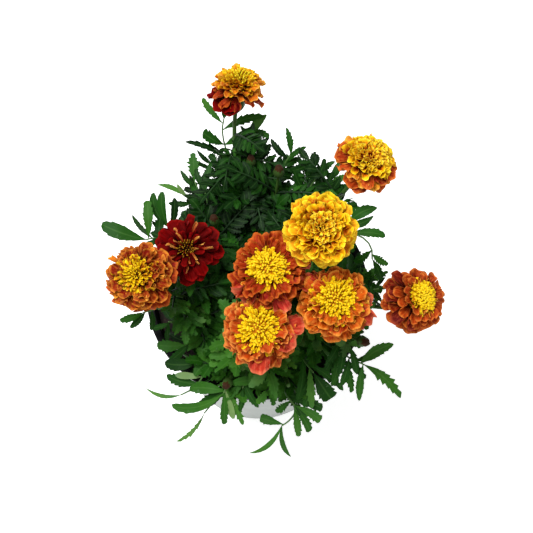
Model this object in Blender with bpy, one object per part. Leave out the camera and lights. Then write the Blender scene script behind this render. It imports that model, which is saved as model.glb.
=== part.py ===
"""French marigold in a pot: a light grey cover pot, a black grow pot in it, soil,
leafy stems, and nine layered flower heads with quilled yellow crests.

Metres, +Z up. The origin is the middle of the cover pot's flat underside.
The photograph looks from -Y, steeply down, so +X is right in it and +Y is up.
"""
import math
import random

import bmesh
import bpy
from mathutils import Vector
from mathutils.bvhtree import BVHTree

for old in list(bpy.data.objects):
    bpy.data.objects.remove(old, do_unlink=True)

MM = 0.001
SEED = 12
GAP = 0.3
SHARP = 40.0

# The pots and the soil, in millimetres.
POT_HEIGHT = 140.0
RIM_RADIUS = 75.0
BASE_RADIUS = 58.0
COVER_WALL = 1.6
COVER_FLOOR = 3.0
COVER_TOP = POT_HEIGHT - 2.0
GROW_WALL = 1.2
GROW_FLOOR = 1.5
LIP_HEIGHT = 3.5
LIP_REACH = 3.4
LIP_WALL = 1.5
EDGE = 0.8
POT_SIDES = 32
SOIL_SIDES = 24
SOIL_TOP = 128.0
SOIL_SWELL = 2.0
HOLE_DEPTH = 12.0
HOLE_RADIUS = 2.5
HOLE_SIDES = 6

# Stems, cups and petals, in millimetres.
STEM_FOOT = 1.9
STEM_NECK = 1.5
STEM_SIDES = 5
STEM_STEPS = 6
CUP_SIDES = 8
CUP_LENGTH = 15.0
CUP_RADIUS = 5.6
CORE_RADIUS = 8.0
CORE_SIDES = 12
CORE_FOOT = -1.8
CORE_TOP = {"crested": 7.8, "ruffled": 7.4, "open": 5.0}
PETAL_THICKNESS = 0.8
BLADE_THICKNESS = 0.8
RIB_HALF = 0.9
LEAFLET_FOOT = 0.22
LEAFLET_SHARE = 0.48
LEAF_DROOP = 0.010
PETAL_SHAPE = [(0.78, 0.50), (1.0, 0.27)]
PETAL_NOTCH = 0.93
PETAL_CURL = 0.12
PETAL_PLAY = 0.04
CLEARANCE = 0.5

# Heads: centre x, y, z, lean in degrees, the way it leans (0 is +X, 90 is +Y), diameter, kind.
HEADS = {
    "a": (-12, 107, 221, 30, 75, 39, "crested"),
    "b": (67, 51, 236, 18, 25, 41, "crested"),
    "c": (37, -4, 264, 12, -80, 46, "ruffled"),
    "d": (-42, -2, 227, 14, -100, 43, "open"),
    "e": (-68, -25, 240, 18, 190, 45, "crested"),
    "f": (8, -22, 243, 8, 200, 50, "crested"),
    "g": (2, -54, 229, 6, -100, 48, "crested"),
    "h": (46, -39, 236, 6, -40, 47, "crested"),
    "i": (96, -30, 212, 30, -5, 42, "crested"),
}

# Buds: centre x, y, z, lean, the way it leans, radius.
BUDS = {
    "j": (14, 60, 204, 20, 80, 5.0),
    "k": (-27, 26, 205, 12, 120, 4.6),
    "l": (-48, -32, 176, 20, 200, 5.2),
    "m": (-19, -73, 172, 45, 250, 4.6),
    "n": (67, -50, 190, 40, -40, 5.0),
    "p": (-4, 70, 198, 25, 90, 4.4),
}

# The leafy stem without a bud ends in a bare tip: x, y, z, lean, the way it leans.
BARE_TIPS = {"o": (20, -72, 166, 30, -80)}

# Where each stem comes out of the soil: x, y.
FEET = {
    "a": (-10, 34), "b": (28, 28), "c": (17, 5), "d": (-26, 6), "e": (-38, -12),
    "f": (2, -8), "g": (0, -34), "h": (22, -24), "i": (42, -6),
    "j": (8, 48), "k": (-26, 26), "l": (-42, -30), "m": (-16, -50), "n": (42, -34),
    "o": (14, -52), "p": (0, 22),
}

# Leaves: stem, height where it leaves the stem, tip x, y, z, arch, bare share of the rib,
# pairs of leaflets, leaflet length, leaflet width.
FRONDS = [
    ("a", 166, (-19, 108, 198), 6, 0.20, 3, 22, 8.0),
    ("a", 174, (8, 104, 194), 6, 0.25, 2, 18, 7.0),
    ("a", 150, (-46, 86, 182), 8, 0.25, 3, 16, 6.5),
    ("b", 170, (54, 72, 190), 8, 0.20, 3, 16, 7.0),
    ("b", 152, (34, 76, 186), 8, 0.20, 3, 16, 7.0),
    ("c", 196, (75, 30, 215), 5, 0.40, 1, 22, 7.5),
    ("c", 186, (80, -5, 205), 16, 0.30, 3, 15, 6.5),
    ("d", 176, (-99, 26, 196), 6, 0.35, 2, 28, 10.0),
    ("d", 166, (-66, 50, 190), 8, 0.25, 3, 20, 8.0),
    ("d", 160, (-40, 42, 186), 8, 0.25, 3, 15, 7.0),
    ("d", 176, (-24, -24, 194), 10, 0.25, 3, 15, 7.5),
    ("e", 184, (-84, -44, 200), 4, 0.40, 1, 14, 7.0),
    ("e", 150, (-64, -46, 168), 8, 0.30, 2, 20, 9.0),
    ("e", 166, (-44, -46, 186), 8, 0.25, 3, 15, 7.5),
    ("f", 176, (-18, 14, 200), 8, 0.25, 3, 16, 7.5),
    ("f", 164, (-26, -20, 186), 8, 0.25, 3, 16, 7.5),
    ("f", 152, (-20, -42, 178), 8, 0.25, 3, 16, 7.5),
    ("g", 158, (-10, -94, 154), 14, 0.35, 2, 17, 7.0),
    ("g", 168, (-34, -58, 186), 8, 0.20, 3, 17, 7.5),
    ("g", 152, (-30, -36, 172), 8, 0.25, 3, 16, 7.5),
    ("h", 162, (90, -79, 166), 16, 0.40, 2, 28, 9.0),
    ("h", 152, (44, -80, 166), 10, 0.25, 3, 18, 8.0),
    ("i", 164, (84, -4, 190), 8, 0.30, 3, 15, 6.5),
    ("j", 168, (19, 91, 199), 8, 0.20, 3, 17, 7.0),
    ("p", 182, (-22, 58, 202), 8, 0.25, 3, 15, 7.0),
    ("k", 166, (-66, 61, 180), 8, 0.25, 3, 16, 6.0),
    ("k", 180, (-44, 56, 197), 8, 0.30, 3, 15, 7.0),
    ("k", 184, (-34, -3, 200), 8, 0.25, 3, 14, 7.0),
    ("k", 156, (-58, 20, 180), 8, 0.25, 3, 16, 7.0),
    ("l", 148, (-60, -59, 160), 8, 0.30, 2, 20, 9.0),
    ("l", 140, (-67, -30, 148), 8, 0.35, 2, 14, 5.5),
    ("m", 150, (-55, -84, 160), 12, 0.30, 2, 22, 8.0),
    ("m", 144, (-51, -101, 136), 18, 0.45, 1, 18, 5.0),
    ("m", 138, (-72, -71, 150), 12, 0.45, 1, 17, 5.0),
    ("n", 152, (60, -8, 184), 8, 0.30, 3, 14, 6.5),
    ("o", 154, (22, -110, 124), 22, 0.40, 2, 27, 6.5),
    ("o", 150, (41, -92, 158), 10, 0.30, 2, 18, 8.0),
    ("p", 166, (-26, 44, 194), 8, 0.20, 3, 16, 7.5),
    ("p", 158, (24, 44, 188), 8, 0.20, 3, 16, 7.5),
]

# Petal rings for each kind of head: count, root height, rise in degrees, share of the radius, width.
RINGS = {
    "crested": [(9, 0.0, -18, 1.00, 0.62), (8, 2.6, -4, 0.95, 0.62), (7, 5.2, 8, 0.80, 0.54)],
    "ruffled": [(9, 0.0, -18, 1.00, 0.62), (8, 2.6, -2, 0.96, 0.62), (8, 5.2, 14, 0.84, 0.50)],
    "open": [(9, 0.0, -9, 1.00, 0.60), (7, 2.6, 5, 0.72, 0.48)],
}
CREST_SHARE = {"crested": 0.62, "ruffled": 0.66, "open": 0.26}
PETAL_COLOUR = {"crested": "orange", "ruffled": "yellow", "open": "dark_red"}
CREST_RISE = {"crested": 0.70, "ruffled": 0.66, "open": 0.8}
FLORET_REACH = {"crested": 3.4, "ruffled": 3.0, "open": 1.6}
CREST_SINK = 0.4
PETAL_VARIANTS = ((0, 1.0), (7, 1.0), (-7, 1.0), (0, 0.85), (10, 0.85), (-8, 0.8), (0, 0.7), (0, 0.6))
PETAL_FAN = ((0, 1, 5), (0, 5, 6), (1, 2, 3), (1, 3, 5), (3, 4, 5))

COLOURS = {
    "cover_pot": ((0.47, 0.50, 0.48), 0.45),
    "grow_pot": ((0.012, 0.013, 0.014), 0.4),
    "soil": ((0.008, 0.006, 0.005), 0.95),
    "foliage": ((0.05, 0.16, 0.03), 0.55),
    "orange": ((0.62, 0.13, 0.02), 0.6),
    "dark_red": ((0.25, 0.01, 0.008), 0.55),
    "yellow": ((0.85, 0.62, 0.02), 0.6),
    "bud_brown": ((0.12, 0.05, 0.025), 0.7),
}


def material(name):
    found = bpy.data.materials.get(name)
    if found:
        return found
    colour, roughness = COLOURS[name]
    made = bpy.data.materials.new(name)
    made.use_nodes = True
    shader = made.node_tree.nodes["Principled BSDF"]
    shader.inputs["Base Color"].default_value = (*colour, 1.0)
    shader.inputs["Roughness"].default_value = roughness
    return made


def round_off(mesh):
    """Shade the round surfaces smooth and keep the real edges."""
    mesh.shade_smooth()
    mesh.set_sharp_from_angle(angle=math.radians(SHARP))


def make_object(name, verts, faces, material_name):
    """A mesh object from points in millimetres."""
    mesh = bpy.data.meshes.new(name)
    mesh.from_pydata([tuple(Vector(v) * MM) for v in verts], [], faces)
    mesh.validate()
    mesh.materials.append(material(material_name))
    round_off(mesh)
    made = bpy.data.objects.new(name, mesh)
    bpy.context.scene.collection.objects.link(made)
    return made


def lathe(profile, sides):
    """Turn a profile of (radius, z), listed outside first from the bottom up, round Z."""
    verts = []
    rings = []
    for radius, z in profile:
        if radius < 1e-6:
            rings.append([len(verts)])
            verts.append(Vector((0, 0, z)))
            continue
        start = len(verts)
        for k in range(sides):
            angle = 2 * math.pi * k / sides
            verts.append(Vector((radius * math.cos(angle), radius * math.sin(angle), z)))
        rings.append(list(range(start, start + sides)))
    faces = []
    pairs = zip(rings, rings[1:] + rings[:1])
    for low, high in pairs:
        if len(low) == 1 and len(high) == 1:
            continue
        for k in range(sides):
            after = (k + 1) % sides
            if len(low) == 1:
                faces.append((low[0], high[after], high[k]))
            elif len(high) == 1:
                faces.append((low[k], low[after], high[0]))
            else:
                faces.append((low[k], low[after], high[after], high[k]))
    return verts, faces


def tube(points, radii, sides):
    """A closed tube through the points, its ends capped."""
    verts = []
    faces = []
    side = Vector((1, 0, 0))
    for index, point in enumerate(points):
        before = points[max(index - 1, 0)]
        after = points[min(index + 1, len(points) - 1)]
        along = (after - before).normalized()
        side = (side - along * side.dot(along)).normalized()
        across = along.cross(side)
        for k in range(sides):
            angle = 2 * math.pi * k / sides
            verts.append(point + (side * math.cos(angle) + across * math.sin(angle)) * radii[index])
    for index in range(len(points) - 1):
        for k in range(sides):
            low = index * sides
            after = (k + 1) % sides
            faces.append((low + k, low + after, low + sides + after, low + sides + k))
    faces.append(tuple(reversed(range(sides))))
    last = (len(points) - 1) * sides
    faces.append(tuple(range(last, last + sides)))
    return verts, faces


def lean_axis(lean, toward):
    lean = math.radians(lean)
    toward = math.radians(toward)
    return Vector((math.sin(lean) * math.cos(toward), math.sin(lean) * math.sin(toward), math.cos(lean)))


def placed(verts, centre, axis):
    """Carry points from a head's own frame, where its axis is +Z, to their place."""
    turn = Vector((0, 0, 1)).rotation_difference(axis)
    return [centre + turn @ v for v in verts]


def head_of(stem):
    """Centre, axis, and how far below the centre the bare stem ends."""
    if stem in HEADS:
        x, y, z, lean, toward = HEADS[stem][:5]
        drop = CUP_LENGTH
    elif stem in BUDS:
        x, y, z, lean, toward, radius = BUDS[stem]
        drop = 2.0 * radius
    else:
        x, y, z, lean, toward = BARE_TIPS[stem]
        drop = 0.0
    return Vector((x, y, z)), lean_axis(lean, toward), drop


def stem_point(stem, t):
    """The stem's middle line above the soil: upright at its foot, in line with the head at its top."""
    foot = Vector((*FEET[stem], SOIL_TOP + SOIL_SWELL))
    centre, axis, drop = head_of(stem)
    top = centre - axis * drop
    rise = top.z - foot.z
    low = foot + Vector((0, 0, 0.45 * rise))
    high = top - axis * 0.35 * rise
    s = 1 - t
    return foot * s ** 3 + low * 3 * s * s * t + high * 3 * s * t * t + top * t ** 3


def stem_at_height(stem, height):
    low = 0.0
    high = 1.0
    for _ in range(30):
        middle = (low + high) / 2
        if stem_point(stem, middle).z < height:
            low = middle
        else:
            high = middle
    return stem_point(stem, low)


def leaflet(root_x, angle, length, width, side):
    """Outline points of one leaflet beside the rib, with a notch in its lower edge, and its triangles."""
    root = Vector((root_x, side * RIB_HALF))
    along = Vector((math.cos(angle), side * math.sin(angle)))
    across = Vector((math.sin(angle), -side * math.cos(angle)))
    shape = [(0.34, -0.50), (0.50, -0.30), (0.70, -0.37), (1.0, 0.0), (0.46, 0.50)]
    points = [root - Vector((LEAFLET_FOOT * width, 0))]
    points += [root + along * share * length + across * half * width for share, half in shape]
    points.append(root + Vector((LEAFLET_FOOT * width, 0)))
    triangles = [(0, 1, 5), (1, 2, 5), (2, 3, 5), (3, 4, 5), (0, 5, 6)]
    return points, triangles


def end_leaflet(start, length, width):
    """Outline points of the end leaflet on each side of the rib: foot, belly, notch and shoulder."""
    shape = [(0.0, None), (0.40, 0.50), (0.56, 0.32), (0.76, 0.32)]
    rows = []
    for share, half in shape:
        reach = RIB_HALF if half is None else half * width
        rows.append((start + share * length, reach))
    return rows


def frond_plan(length, bare, pairs, leaflet_length, width):
    """A pinnate leaf lying along +X: outline round its leaflets, cut to the rib, and its triangles."""
    leaflet_length = min(leaflet_length, LEAFLET_SHARE * length)
    last = length - leaflet_length - 0.5 * width
    first = min(max(bare * length, 6.0), last)
    pairs = min(pairs, 1 + int((last - first) / (1.2 * width)))
    sides = {}
    triangles = []
    for side in (-1, 1):
        points = [Vector((0.0, side * RIB_HALF))]
        fans = []
        for k in range(pairs):
            share = k / (pairs - 1) if pairs > 1 else 0.5
            angle = math.radians(62 - 9 * share + 4 * side)
            size = leaflet_length * (0.88 + 0.12 * math.sin(math.pi * (0.25 + 0.6 * share)))
            outline, fan = leaflet(first + (last - first) * share, angle, size, width, side)
            fans += [tuple(len(points) + i for i in corner) for corner in fan]
            points += outline
        for x, half in end_leaflet(length - leaflet_length, leaflet_length, width):
            points.append(Vector((x, side * half)))
        sides[side] = points
        triangles.append(fans)
    count = len(sides[-1])
    outline = sides[-1] + [Vector((length, 0.0))] + list(reversed(sides[1]))
    last_index = len(outline) - 1
    tip = count
    corners = list(triangles[0])
    corners += [tuple(last_index - i for i in corner) for corner in triangles[1]]
    stations = [0]
    for k in range(pairs):
        stations += [1 + 7 * k, 7 + 7 * k]
    stations += list(range(1 + 7 * pairs, count))
    for low, high in zip(stations, stations[1:]):
        corners += [(low, high, last_index - high), (low, last_index - high, last_index - low)]
    corners.append((count - 1, tip, last_index - (count - 1)))
    return outline, corners


def blade(outline, triangles, place, thickness):
    """A thin closed solid: the flat outline carried to its place, split alike on both faces."""
    count = len(outline)
    spots = [place(point.x, point.y) for point in outline]
    verts = [middle + normal * thickness / 2 for middle, normal in spots]
    verts += [middle - normal * thickness / 2 for middle, normal in spots]
    faces = []
    for a, b, c in triangles:
        if (outline[b] - outline[a]).cross(outline[c] - outline[a]) < 0:
            b, c = c, b
        faces.append((a, b, c))
        faces.append((count + a, count + c, count + b))
    for k in range(count):
        after = (k + 1) % count
        faces.append((k, count + k, count + after))
        faces.append((k, count + after, after))
    return verts, faces


def frond(root, tip, arch, bare, pairs, leaflet_length, width, thickness=BLADE_THICKNESS):
    """A pinnate leaf from its root on the stem to its tip, its rib arched upward."""
    bend = (root + tip) / 2 + Vector((0, 0, arch))
    steps = 24
    line = []
    for k in range(steps + 1):
        t = k / steps
        line.append(root * (1 - t) ** 2 + bend * 2 * t * (1 - t) + tip * t * t)
    lengths = [0.0]
    for a, b in zip(line, line[1:]):
        lengths.append(lengths[-1] + (b - a).length)
    level = Vector((0, 0, 1)).cross(tip - root).normalized()
    total = lengths[-1]

    def place(u, v):
        k = 0
        while k < steps - 1 and lengths[k + 1] < u:
            k += 1
        share = (u - lengths[k]) / (lengths[k + 1] - lengths[k])
        spot = line[k] + (line[k + 1] - line[k]) * share
        t = min((k + share) / steps, 1.0)
        along = ((bend - root) * (1 - t) + (tip - bend) * t).normalized()
        normal = along.cross(level)
        return spot + level * v - normal * LEAF_DROOP * v * v, normal

    outline, triangles = frond_plan(total, bare, pairs, leaflet_length, width)
    return blade(outline, triangles, place, thickness)


def petal_plan(reach, width):
    """Half outline of a petal from the core outward: shoulder and tip as (distance, half width)."""
    length = reach - CORE_RADIUS
    return [(CORE_RADIUS + share * length, half * width) for share, half in PETAL_SHAPE]


def room(reach, count):
    """The widest a petal may be at its shoulder and stay clear of its neighbours in a ring of count."""
    share, half = PETAL_SHAPE[0]
    shoulder = CORE_RADIUS + share * (reach - CORE_RADIUS)
    return (shoulder * math.tan(math.pi / count - PETAL_PLAY) - GAP) / half


def petal_points(form, face):
    """Outline of one petal on its upper (+1) or lower (-1) face, left side first, notch in the middle."""
    root_height, turn, rise, reach, width = form
    plan = petal_plan(reach, width)
    notch = CORE_RADIUS + PETAL_NOTCH * (reach - CORE_RADIUS)
    flat = [(x, -half) for x, half in plan] + [(notch, 0.0)] + [(x, half) for x, half in reversed(plan)]
    out = Vector((math.cos(turn), math.sin(turn), 0))
    across = Vector((-math.sin(turn), math.cos(turn), 0))
    slope = math.tan(math.radians(rise))
    points = []
    for x, y in flat:
        z = root_height + slope * (x - CORE_RADIUS) - PETAL_CURL * abs(y) + face * PETAL_THICKNESS / 2
        points.append(out * x + across * y + Vector((0, 0, z)))
    return points


def petal_test(form):
    """A petal by itself, a little fatter than it is, to see what it would cross."""
    turn = form[1]
    spread = 2.4 / CORE_RADIUS
    verts = []
    for face in (1, -1):
        roots = []
        for edge in (-1, 1):
            angle = turn + edge * spread / 2
            z = form[0] + face * PETAL_THICKNESS / 2
            roots.append(Vector((CORE_RADIUS * math.cos(angle), CORE_RADIUS * math.sin(angle), z)))
        outline = [roots[0]] + petal_points(form, face) + [roots[1]]
        verts += [point + Vector((0, 0, face * CLEARANCE)) for point in outline]
    faces = []
    for start in (0, 7):
        faces += [tuple(start + i for i in corner) for corner in PETAL_FAN]
    for k in range(7):
        after = (k + 1) % 7
        faces += [(k, 7 + k, 7 + after), (k, 7 + after, after)]
    return verts, faces


def joined(low, high):
    """Triangles of the wall between two loops round the axis; each loop is (indices, angles)."""
    faces = []
    i = 0
    j = 0
    count_low = len(low[0])
    count_high = len(high[0])
    while i < count_low or j < count_high:
        next_low = low[1][i % count_low] + 2 * math.pi * (i // count_low) + math.pi / count_low
        next_high = high[1][j % count_high] + 2 * math.pi * (j // count_high) + math.pi / count_high
        here_low = low[0][i % count_low]
        here_high = high[0][j % count_high]
        if j >= count_high or (i < count_low and next_low <= next_high):
            i += 1
            faces.append((here_low, low[0][i % count_low], here_high))
        else:
            j += 1
            faces.append((here_low, high[0][j % count_high], here_high))
    return faces


def rosette(rings, top):
    """Rings of petals that grow out of one core: rings holds lists of petal forms, lowest first."""
    verts = []
    faces = []

    def loop(count, radius, z, shift):
        start = len(verts)
        angles = []
        for k in range(count):
            angle = shift + 2 * math.pi * k / count
            angles.append(angle)
            verts.append(Vector((radius * math.cos(angle), radius * math.sin(angle), z)))
        return list(range(start, start + count)), angles

    first = rings[0]
    below = loop(len(first), 0.62 * CORE_RADIUS, CORE_FOOT, 0.0)
    faces.append(tuple(reversed(below[0])))
    for number, forms in enumerate(rings):
        count = len(forms)
        shift = math.pi / count * (number % 2)
        height = forms[0][0]
        low = loop(count, CORE_RADIUS, height - PETAL_THICKNESS / 2, shift)
        faces += joined(below, low)
        high = loop(count, CORE_RADIUS, height + PETAL_THICKNESS / 2, shift)
        for k, form in enumerate(forms):
            after = (k + 1) % count
            start = len(verts)
            verts.extend(petal_points(form, 1))
            verts.extend(petal_points(form, -1))
            upper = [high[0][k], *range(start, start + 5), high[0][after]]
            lower = [low[0][k], *range(start + 5, start + 10), low[0][after]]
            for a, b, c in PETAL_FAN:
                faces.append((upper[a], upper[b], upper[c]))
                faces.append((lower[a], lower[c], lower[b]))
            for a in range(6):
                faces.append((upper[a], lower[a], lower[a + 1]))
                faces.append((upper[a], lower[a + 1], upper[a + 1]))
        below = high
    rim = loop(CORE_SIDES, 0.92 * CORE_RADIUS, top, 0.0)
    faces += joined(below, rim)
    faces.append(tuple(rim[0]))
    return verts, faces


class Space:
    """What is already placed, so that each new blade is bent clear of it."""

    def __init__(self):
        self.trees = []

    def add(self, owner, verts, faces):
        self.trees.append((owner, BVHTree.FromPolygons(verts, faces)))

    def free(self, own, verts, faces):
        """True where nothing is crossed but what the blade is fused to."""
        tree = BVHTree.FromPolygons(verts, faces)
        return not any(owner not in own and tree.overlap(old) for owner, old in self.trees)


space = Space()


def boolean(made, operation, pieces, material_name):
    """Fuse the pieces into an object, or cut them out of it, with one Boolean on a collection."""
    group = bpy.data.collections.new(made.name + "_pieces")
    for index, piece in enumerate(pieces):
        part = make_object(f"{made.name}_piece_{index}", *piece, material_name)
        bpy.context.scene.collection.objects.unlink(part)
        group.objects.link(part)
    change = made.modifiers.new("change", "BOOLEAN")
    change.operation = operation
    change.operand_type = "COLLECTION"
    change.collection = group
    change.solver = "EXACT"
    graph = bpy.context.evaluated_depsgraph_get()
    changed = bpy.data.meshes.new_from_object(made.evaluated_get(graph))
    made.modifiers.clear()
    made.data = changed
    round_off(changed)
    for part in list(group.objects):
        bpy.data.objects.remove(part, do_unlink=True)
    bpy.data.collections.remove(group)


def cover_pot():
    """An open, tapered pot with a flat underside and a softened edge."""
    top_in = RIM_RADIUS - LIP_REACH
    top_out = top_in + COVER_WALL
    soft = 0.3 * COVER_WALL
    profile = [
        (0, 0), (BASE_RADIUS - EDGE, 0), (BASE_RADIUS, EDGE),
        (top_out, COVER_TOP - soft), (top_out - soft, COVER_TOP),
        (top_in + soft, COVER_TOP), (top_in, COVER_TOP - soft),
        (BASE_RADIUS - COVER_WALL, COVER_FLOOR), (0, COVER_FLOOR),
    ]
    made = lathe(profile, POT_SIDES)
    make_object("cover_pot", *made, "cover_pot")
    space.add("cover_pot", *made)


def grow_pot_radius(z):
    """Outer radius of the grow pot's wall at a height."""
    low = BASE_RADIUS - COVER_WALL - 2 * GAP
    high = RIM_RADIUS - LIP_REACH - 2 * GAP
    return low + (high - low) * (z - COVER_FLOOR) / (COVER_TOP - COVER_FLOOR)


def grow_pot():
    """A thin black pot inside the cover pot; its turned-down lip hangs over the cover pot's edge."""
    foot = COVER_FLOOR + GAP
    floor = foot + GROW_FLOOR
    under = COVER_TOP + GAP
    lip_foot = POT_HEIGHT - LIP_HEIGHT
    profile = [
        (0, foot), (grow_pot_radius(foot), foot), (grow_pot_radius(under), under),
        (RIM_RADIUS - LIP_WALL, under), (RIM_RADIUS - LIP_WALL, lip_foot), (RIM_RADIUS, lip_foot),
        (RIM_RADIUS, POT_HEIGHT - EDGE), (RIM_RADIUS - EDGE, POT_HEIGHT),
        (grow_pot_radius(POT_HEIGHT) - GROW_WALL, POT_HEIGHT),
        (grow_pot_radius(floor) - GROW_WALL, floor), (0, floor),
    ]
    made = lathe(profile, POT_SIDES)
    make_object("grow_pot", *made, "grow_pot")
    space.add("grow_pot", *made)


def soil():
    """The soil fills the grow pot, swells in the middle, and has a plain hole for each stem."""
    foot = COVER_FLOOR + GROW_FLOOR + 2 * GAP
    radius_low = grow_pot_radius(foot) - GROW_WALL - 2 * GAP
    radius_top = grow_pot_radius(SOIL_TOP) - GROW_WALL - 2 * GAP
    crown = SOIL_TOP + SOIL_SWELL
    profile = [
        (0, foot), (radius_low, foot), (radius_top, SOIL_TOP - 1.0), (0.8 * radius_top, SOIL_TOP),
        (0.4 * radius_top, crown), (0, crown),
    ]
    made = make_object("soil", *lathe(profile, SOIL_SIDES), "soil")
    drills = []
    for x, y in FEET.values():
        ends = [Vector((x, y, SOIL_TOP - HOLE_DEPTH)), Vector((x, y, SOIL_TOP + HOLE_DEPTH))]
        drills.append(tube(ends, [HOLE_RADIUS] * 2, HOLE_SIDES))
    boolean(made, "DIFFERENCE", drills, "soil")


def stem_solid(stem):
    """The bare stem, from the floor of its hole, ending inside its cup or in a bare tip."""
    points = [Vector((*FEET[stem], SOIL_TOP - HOLE_DEPTH + GAP))]
    points += [stem_point(stem, k / STEM_STEPS) for k in range(STEM_STEPS + 1)]
    radii = [STEM_FOOT]
    radii += [STEM_FOOT + (STEM_NECK - STEM_FOOT) * k / STEM_STEPS for k in range(STEM_STEPS + 1)]
    centre, axis, drop = head_of(stem)
    if drop > 0:
        points.append(points[-1] + axis * 3.0)
        radii.append(STEM_NECK)
    return tube(points, radii, STEM_SIDES)


def cup(stem):
    """The green cup that holds a head's petals, or wraps a bud."""
    centre, axis, drop = head_of(stem)
    if stem in HEADS:
        top = CORE_FOOT - GAP
        profile = [
            (0, -CUP_LENGTH), (2.6, -CUP_LENGTH), (CUP_RADIUS, -CUP_LENGTH + 6.0),
            (CUP_RADIUS * 0.94, top), (0, top),
        ]
    else:
        radius = BUDS[stem][5]
        profile = [
            (0, -drop), (0.5 * radius, -drop), (radius, -0.9 * radius),
            (0.9 * radius, 0.3 * radius), (0, 0.3 * radius),
        ]
    verts, faces = lathe(profile, CUP_SIDES)
    return placed(verts, centre, axis), faces


def bud_tip(stem):
    """The closed petals that show at the end of a bud."""
    centre, axis, drop = head_of(stem)
    radius = BUDS[stem][5]
    foot = 0.3 * radius + GAP
    profile = [
        (0, foot), (0.78 * radius, foot), (0.74 * radius, foot + 0.5 * radius),
        (0.4 * radius, foot + 1.0 * radius), (0, foot + 1.1 * radius),
    ]
    verts, faces = lathe(profile, 6)
    tip = placed(verts, centre, axis), faces
    make_object("bud_" + stem, *tip, "bud_brown")
    space.add("bud_" + stem, *tip)


def crest(kind, radius):
    """A low dome whose every face is drawn out into a pointed floret."""
    mesh = bmesh.new()
    bmesh.ops.create_icosphere(mesh, subdivisions=2, radius=1.0)
    whole = mesh.verts[:] + mesh.edges[:] + mesh.faces[:]
    cut = bmesh.ops.bisect_plane(
        mesh, geom=whole, plane_co=(0, 0, 0.04), plane_no=(0, 0, -1), clear_outer=True, dist=1e-5,
    )
    rim = [e for e in cut["geom_cut"] if isinstance(e, bmesh.types.BMEdge)]
    dome_faces = mesh.faces[:]
    bmesh.ops.triangulate(mesh, faces=dome_faces)
    dome_faces = mesh.faces[:]
    bmesh.ops.contextual_create(mesh, geom=rim)
    share = CREST_SHARE[kind]
    inner = share * radius - FLORET_REACH[kind]
    for vert in mesh.verts:
        vert.co.x *= inner
        vert.co.y *= inner
        vert.co.z *= inner * CREST_RISE[kind]
    poked = bmesh.ops.poke(mesh, faces=dome_faces)
    for vert in poked["verts"]:
        out = Vector((vert.co.x, vert.co.y, vert.co.z * 1.6 + 0.3 * inner)).normalized()
        vert.co += out * FLORET_REACH[kind] * 1.15
    bmesh.ops.triangulate(mesh, faces=mesh.faces[:])
    bmesh.ops.recalc_face_normals(mesh, faces=mesh.faces[:])
    low = min(v.co.z for v in mesh.verts)
    verts = [Vector((v.co.x, v.co.y, v.co.z - low)) for v in mesh.verts]
    faces = [tuple(v.index for v in f.verts) for f in mesh.faces]
    mesh.free()
    return verts, faces


def crest_of(stem):
    """The crest in its place on the head's core."""
    x, y, z, lean, toward, diameter, kind = HEADS[stem]
    verts, faces = crest(kind, diameter / 2)
    top = CORE_TOP[kind]
    seat = Vector((0, 0, top - CREST_SINK if kind == "ruffled" else top + GAP))
    return placed([v + seat for v in verts], Vector((x, y, z)), lean_axis(lean, toward)), faces


def core_of(stem):
    """The core that the petals grow from, a little fatter than it is."""
    x, y, z, lean, toward, diameter, kind = HEADS[stem]
    radius = CORE_RADIUS + CLEARANCE
    top = CORE_TOP[kind]
    verts, faces = lathe([(0, CORE_FOOT), (radius, CORE_FOOT), (radius, top), (0, top)], CORE_SIDES)
    return placed(verts, Vector((x, y, z)), lean_axis(lean, toward)), faces


def flower_head(stem, draw):
    """Petals in rings on a core, each bent clear of its neighbours, and a crest of florets."""
    x, y, z, lean, toward, diameter, kind = HEADS[stem]
    centre = Vector((x, y, z))
    axis = lean_axis(lean, toward)
    radius = diameter / 2
    petals_name = "petals_" + stem
    rings = []
    own = Space()
    for number, (count, root_height, rise, reach, width) in enumerate(RINGS[kind]):
        forms = []
        for k in range(count):
            turn = 2 * math.pi * (k + 0.5 + 0.5 * (number % 2)) / count + draw.uniform(-0.03, 0.03)
            tilt = rise + draw.uniform(-2.5, 2.5)
            long = radius * reach * draw.uniform(0.95, 1.04)
            wide = radius * width * draw.uniform(0.92, 1.0)
            for lift, shrink in PETAL_VARIANTS:
                form = (root_height, turn, tilt + lift, long * shrink, min(wide, room(long * shrink, count)))
                verts, faces = petal_test(form)
                body = placed(verts, centre, axis)
                if space.free([petals_name], body, faces) and own.free([], body, faces):
                    break
            else:
                print("a petal is tight on head", stem, number, k)
            own.add("petal", body, faces)
            forms.append(form)
        rings.append(forms)
    verts, faces = rosette(rings, CORE_TOP[kind])
    body = placed(verts, centre, axis), faces
    petals = make_object(petals_name, *body, PETAL_COLOUR[kind])
    space.add(petals_name, *body)
    if kind == "ruffled":
        boolean(petals, "UNION", [crest_of(stem)], PETAL_COLOUR[kind])
    else:
        make_object("crest_" + stem, *crest_of(stem), "yellow")


def free_frond(stem, height, tip, arch, bare, pairs, leaflet_length, width):
    """The leaf as wanted, or the first of its near variants that is clear of everything else."""
    root = stem_at_height(stem, height)
    reach = Vector(tip) - root
    stem_name = "stem_" + stem
    for own in ([stem_name], [stem_name, "leaf_" + stem]):
        for shrink in (1.0, 0.9, 0.8):
            for lift in (0, 4, -4, 8, -8, 12, -12):
                for swing in (0, 6, -6, 12, -12, 18, -18):
                    turn = math.radians(swing)
                    x = reach.x * math.cos(turn) - reach.y * math.sin(turn)
                    y = reach.x * math.sin(turn) + reach.y * math.cos(turn)
                    end = root + Vector((x, y, reach.z + lift)) * shrink
                    form = (root, end, arch, bare, pairs, leaflet_length * shrink, width * shrink)
                    if space.free(own, *frond(*form, BLADE_THICKNESS + 2 * CLEARANCE)):
                        return frond(*form)
    return None


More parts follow.
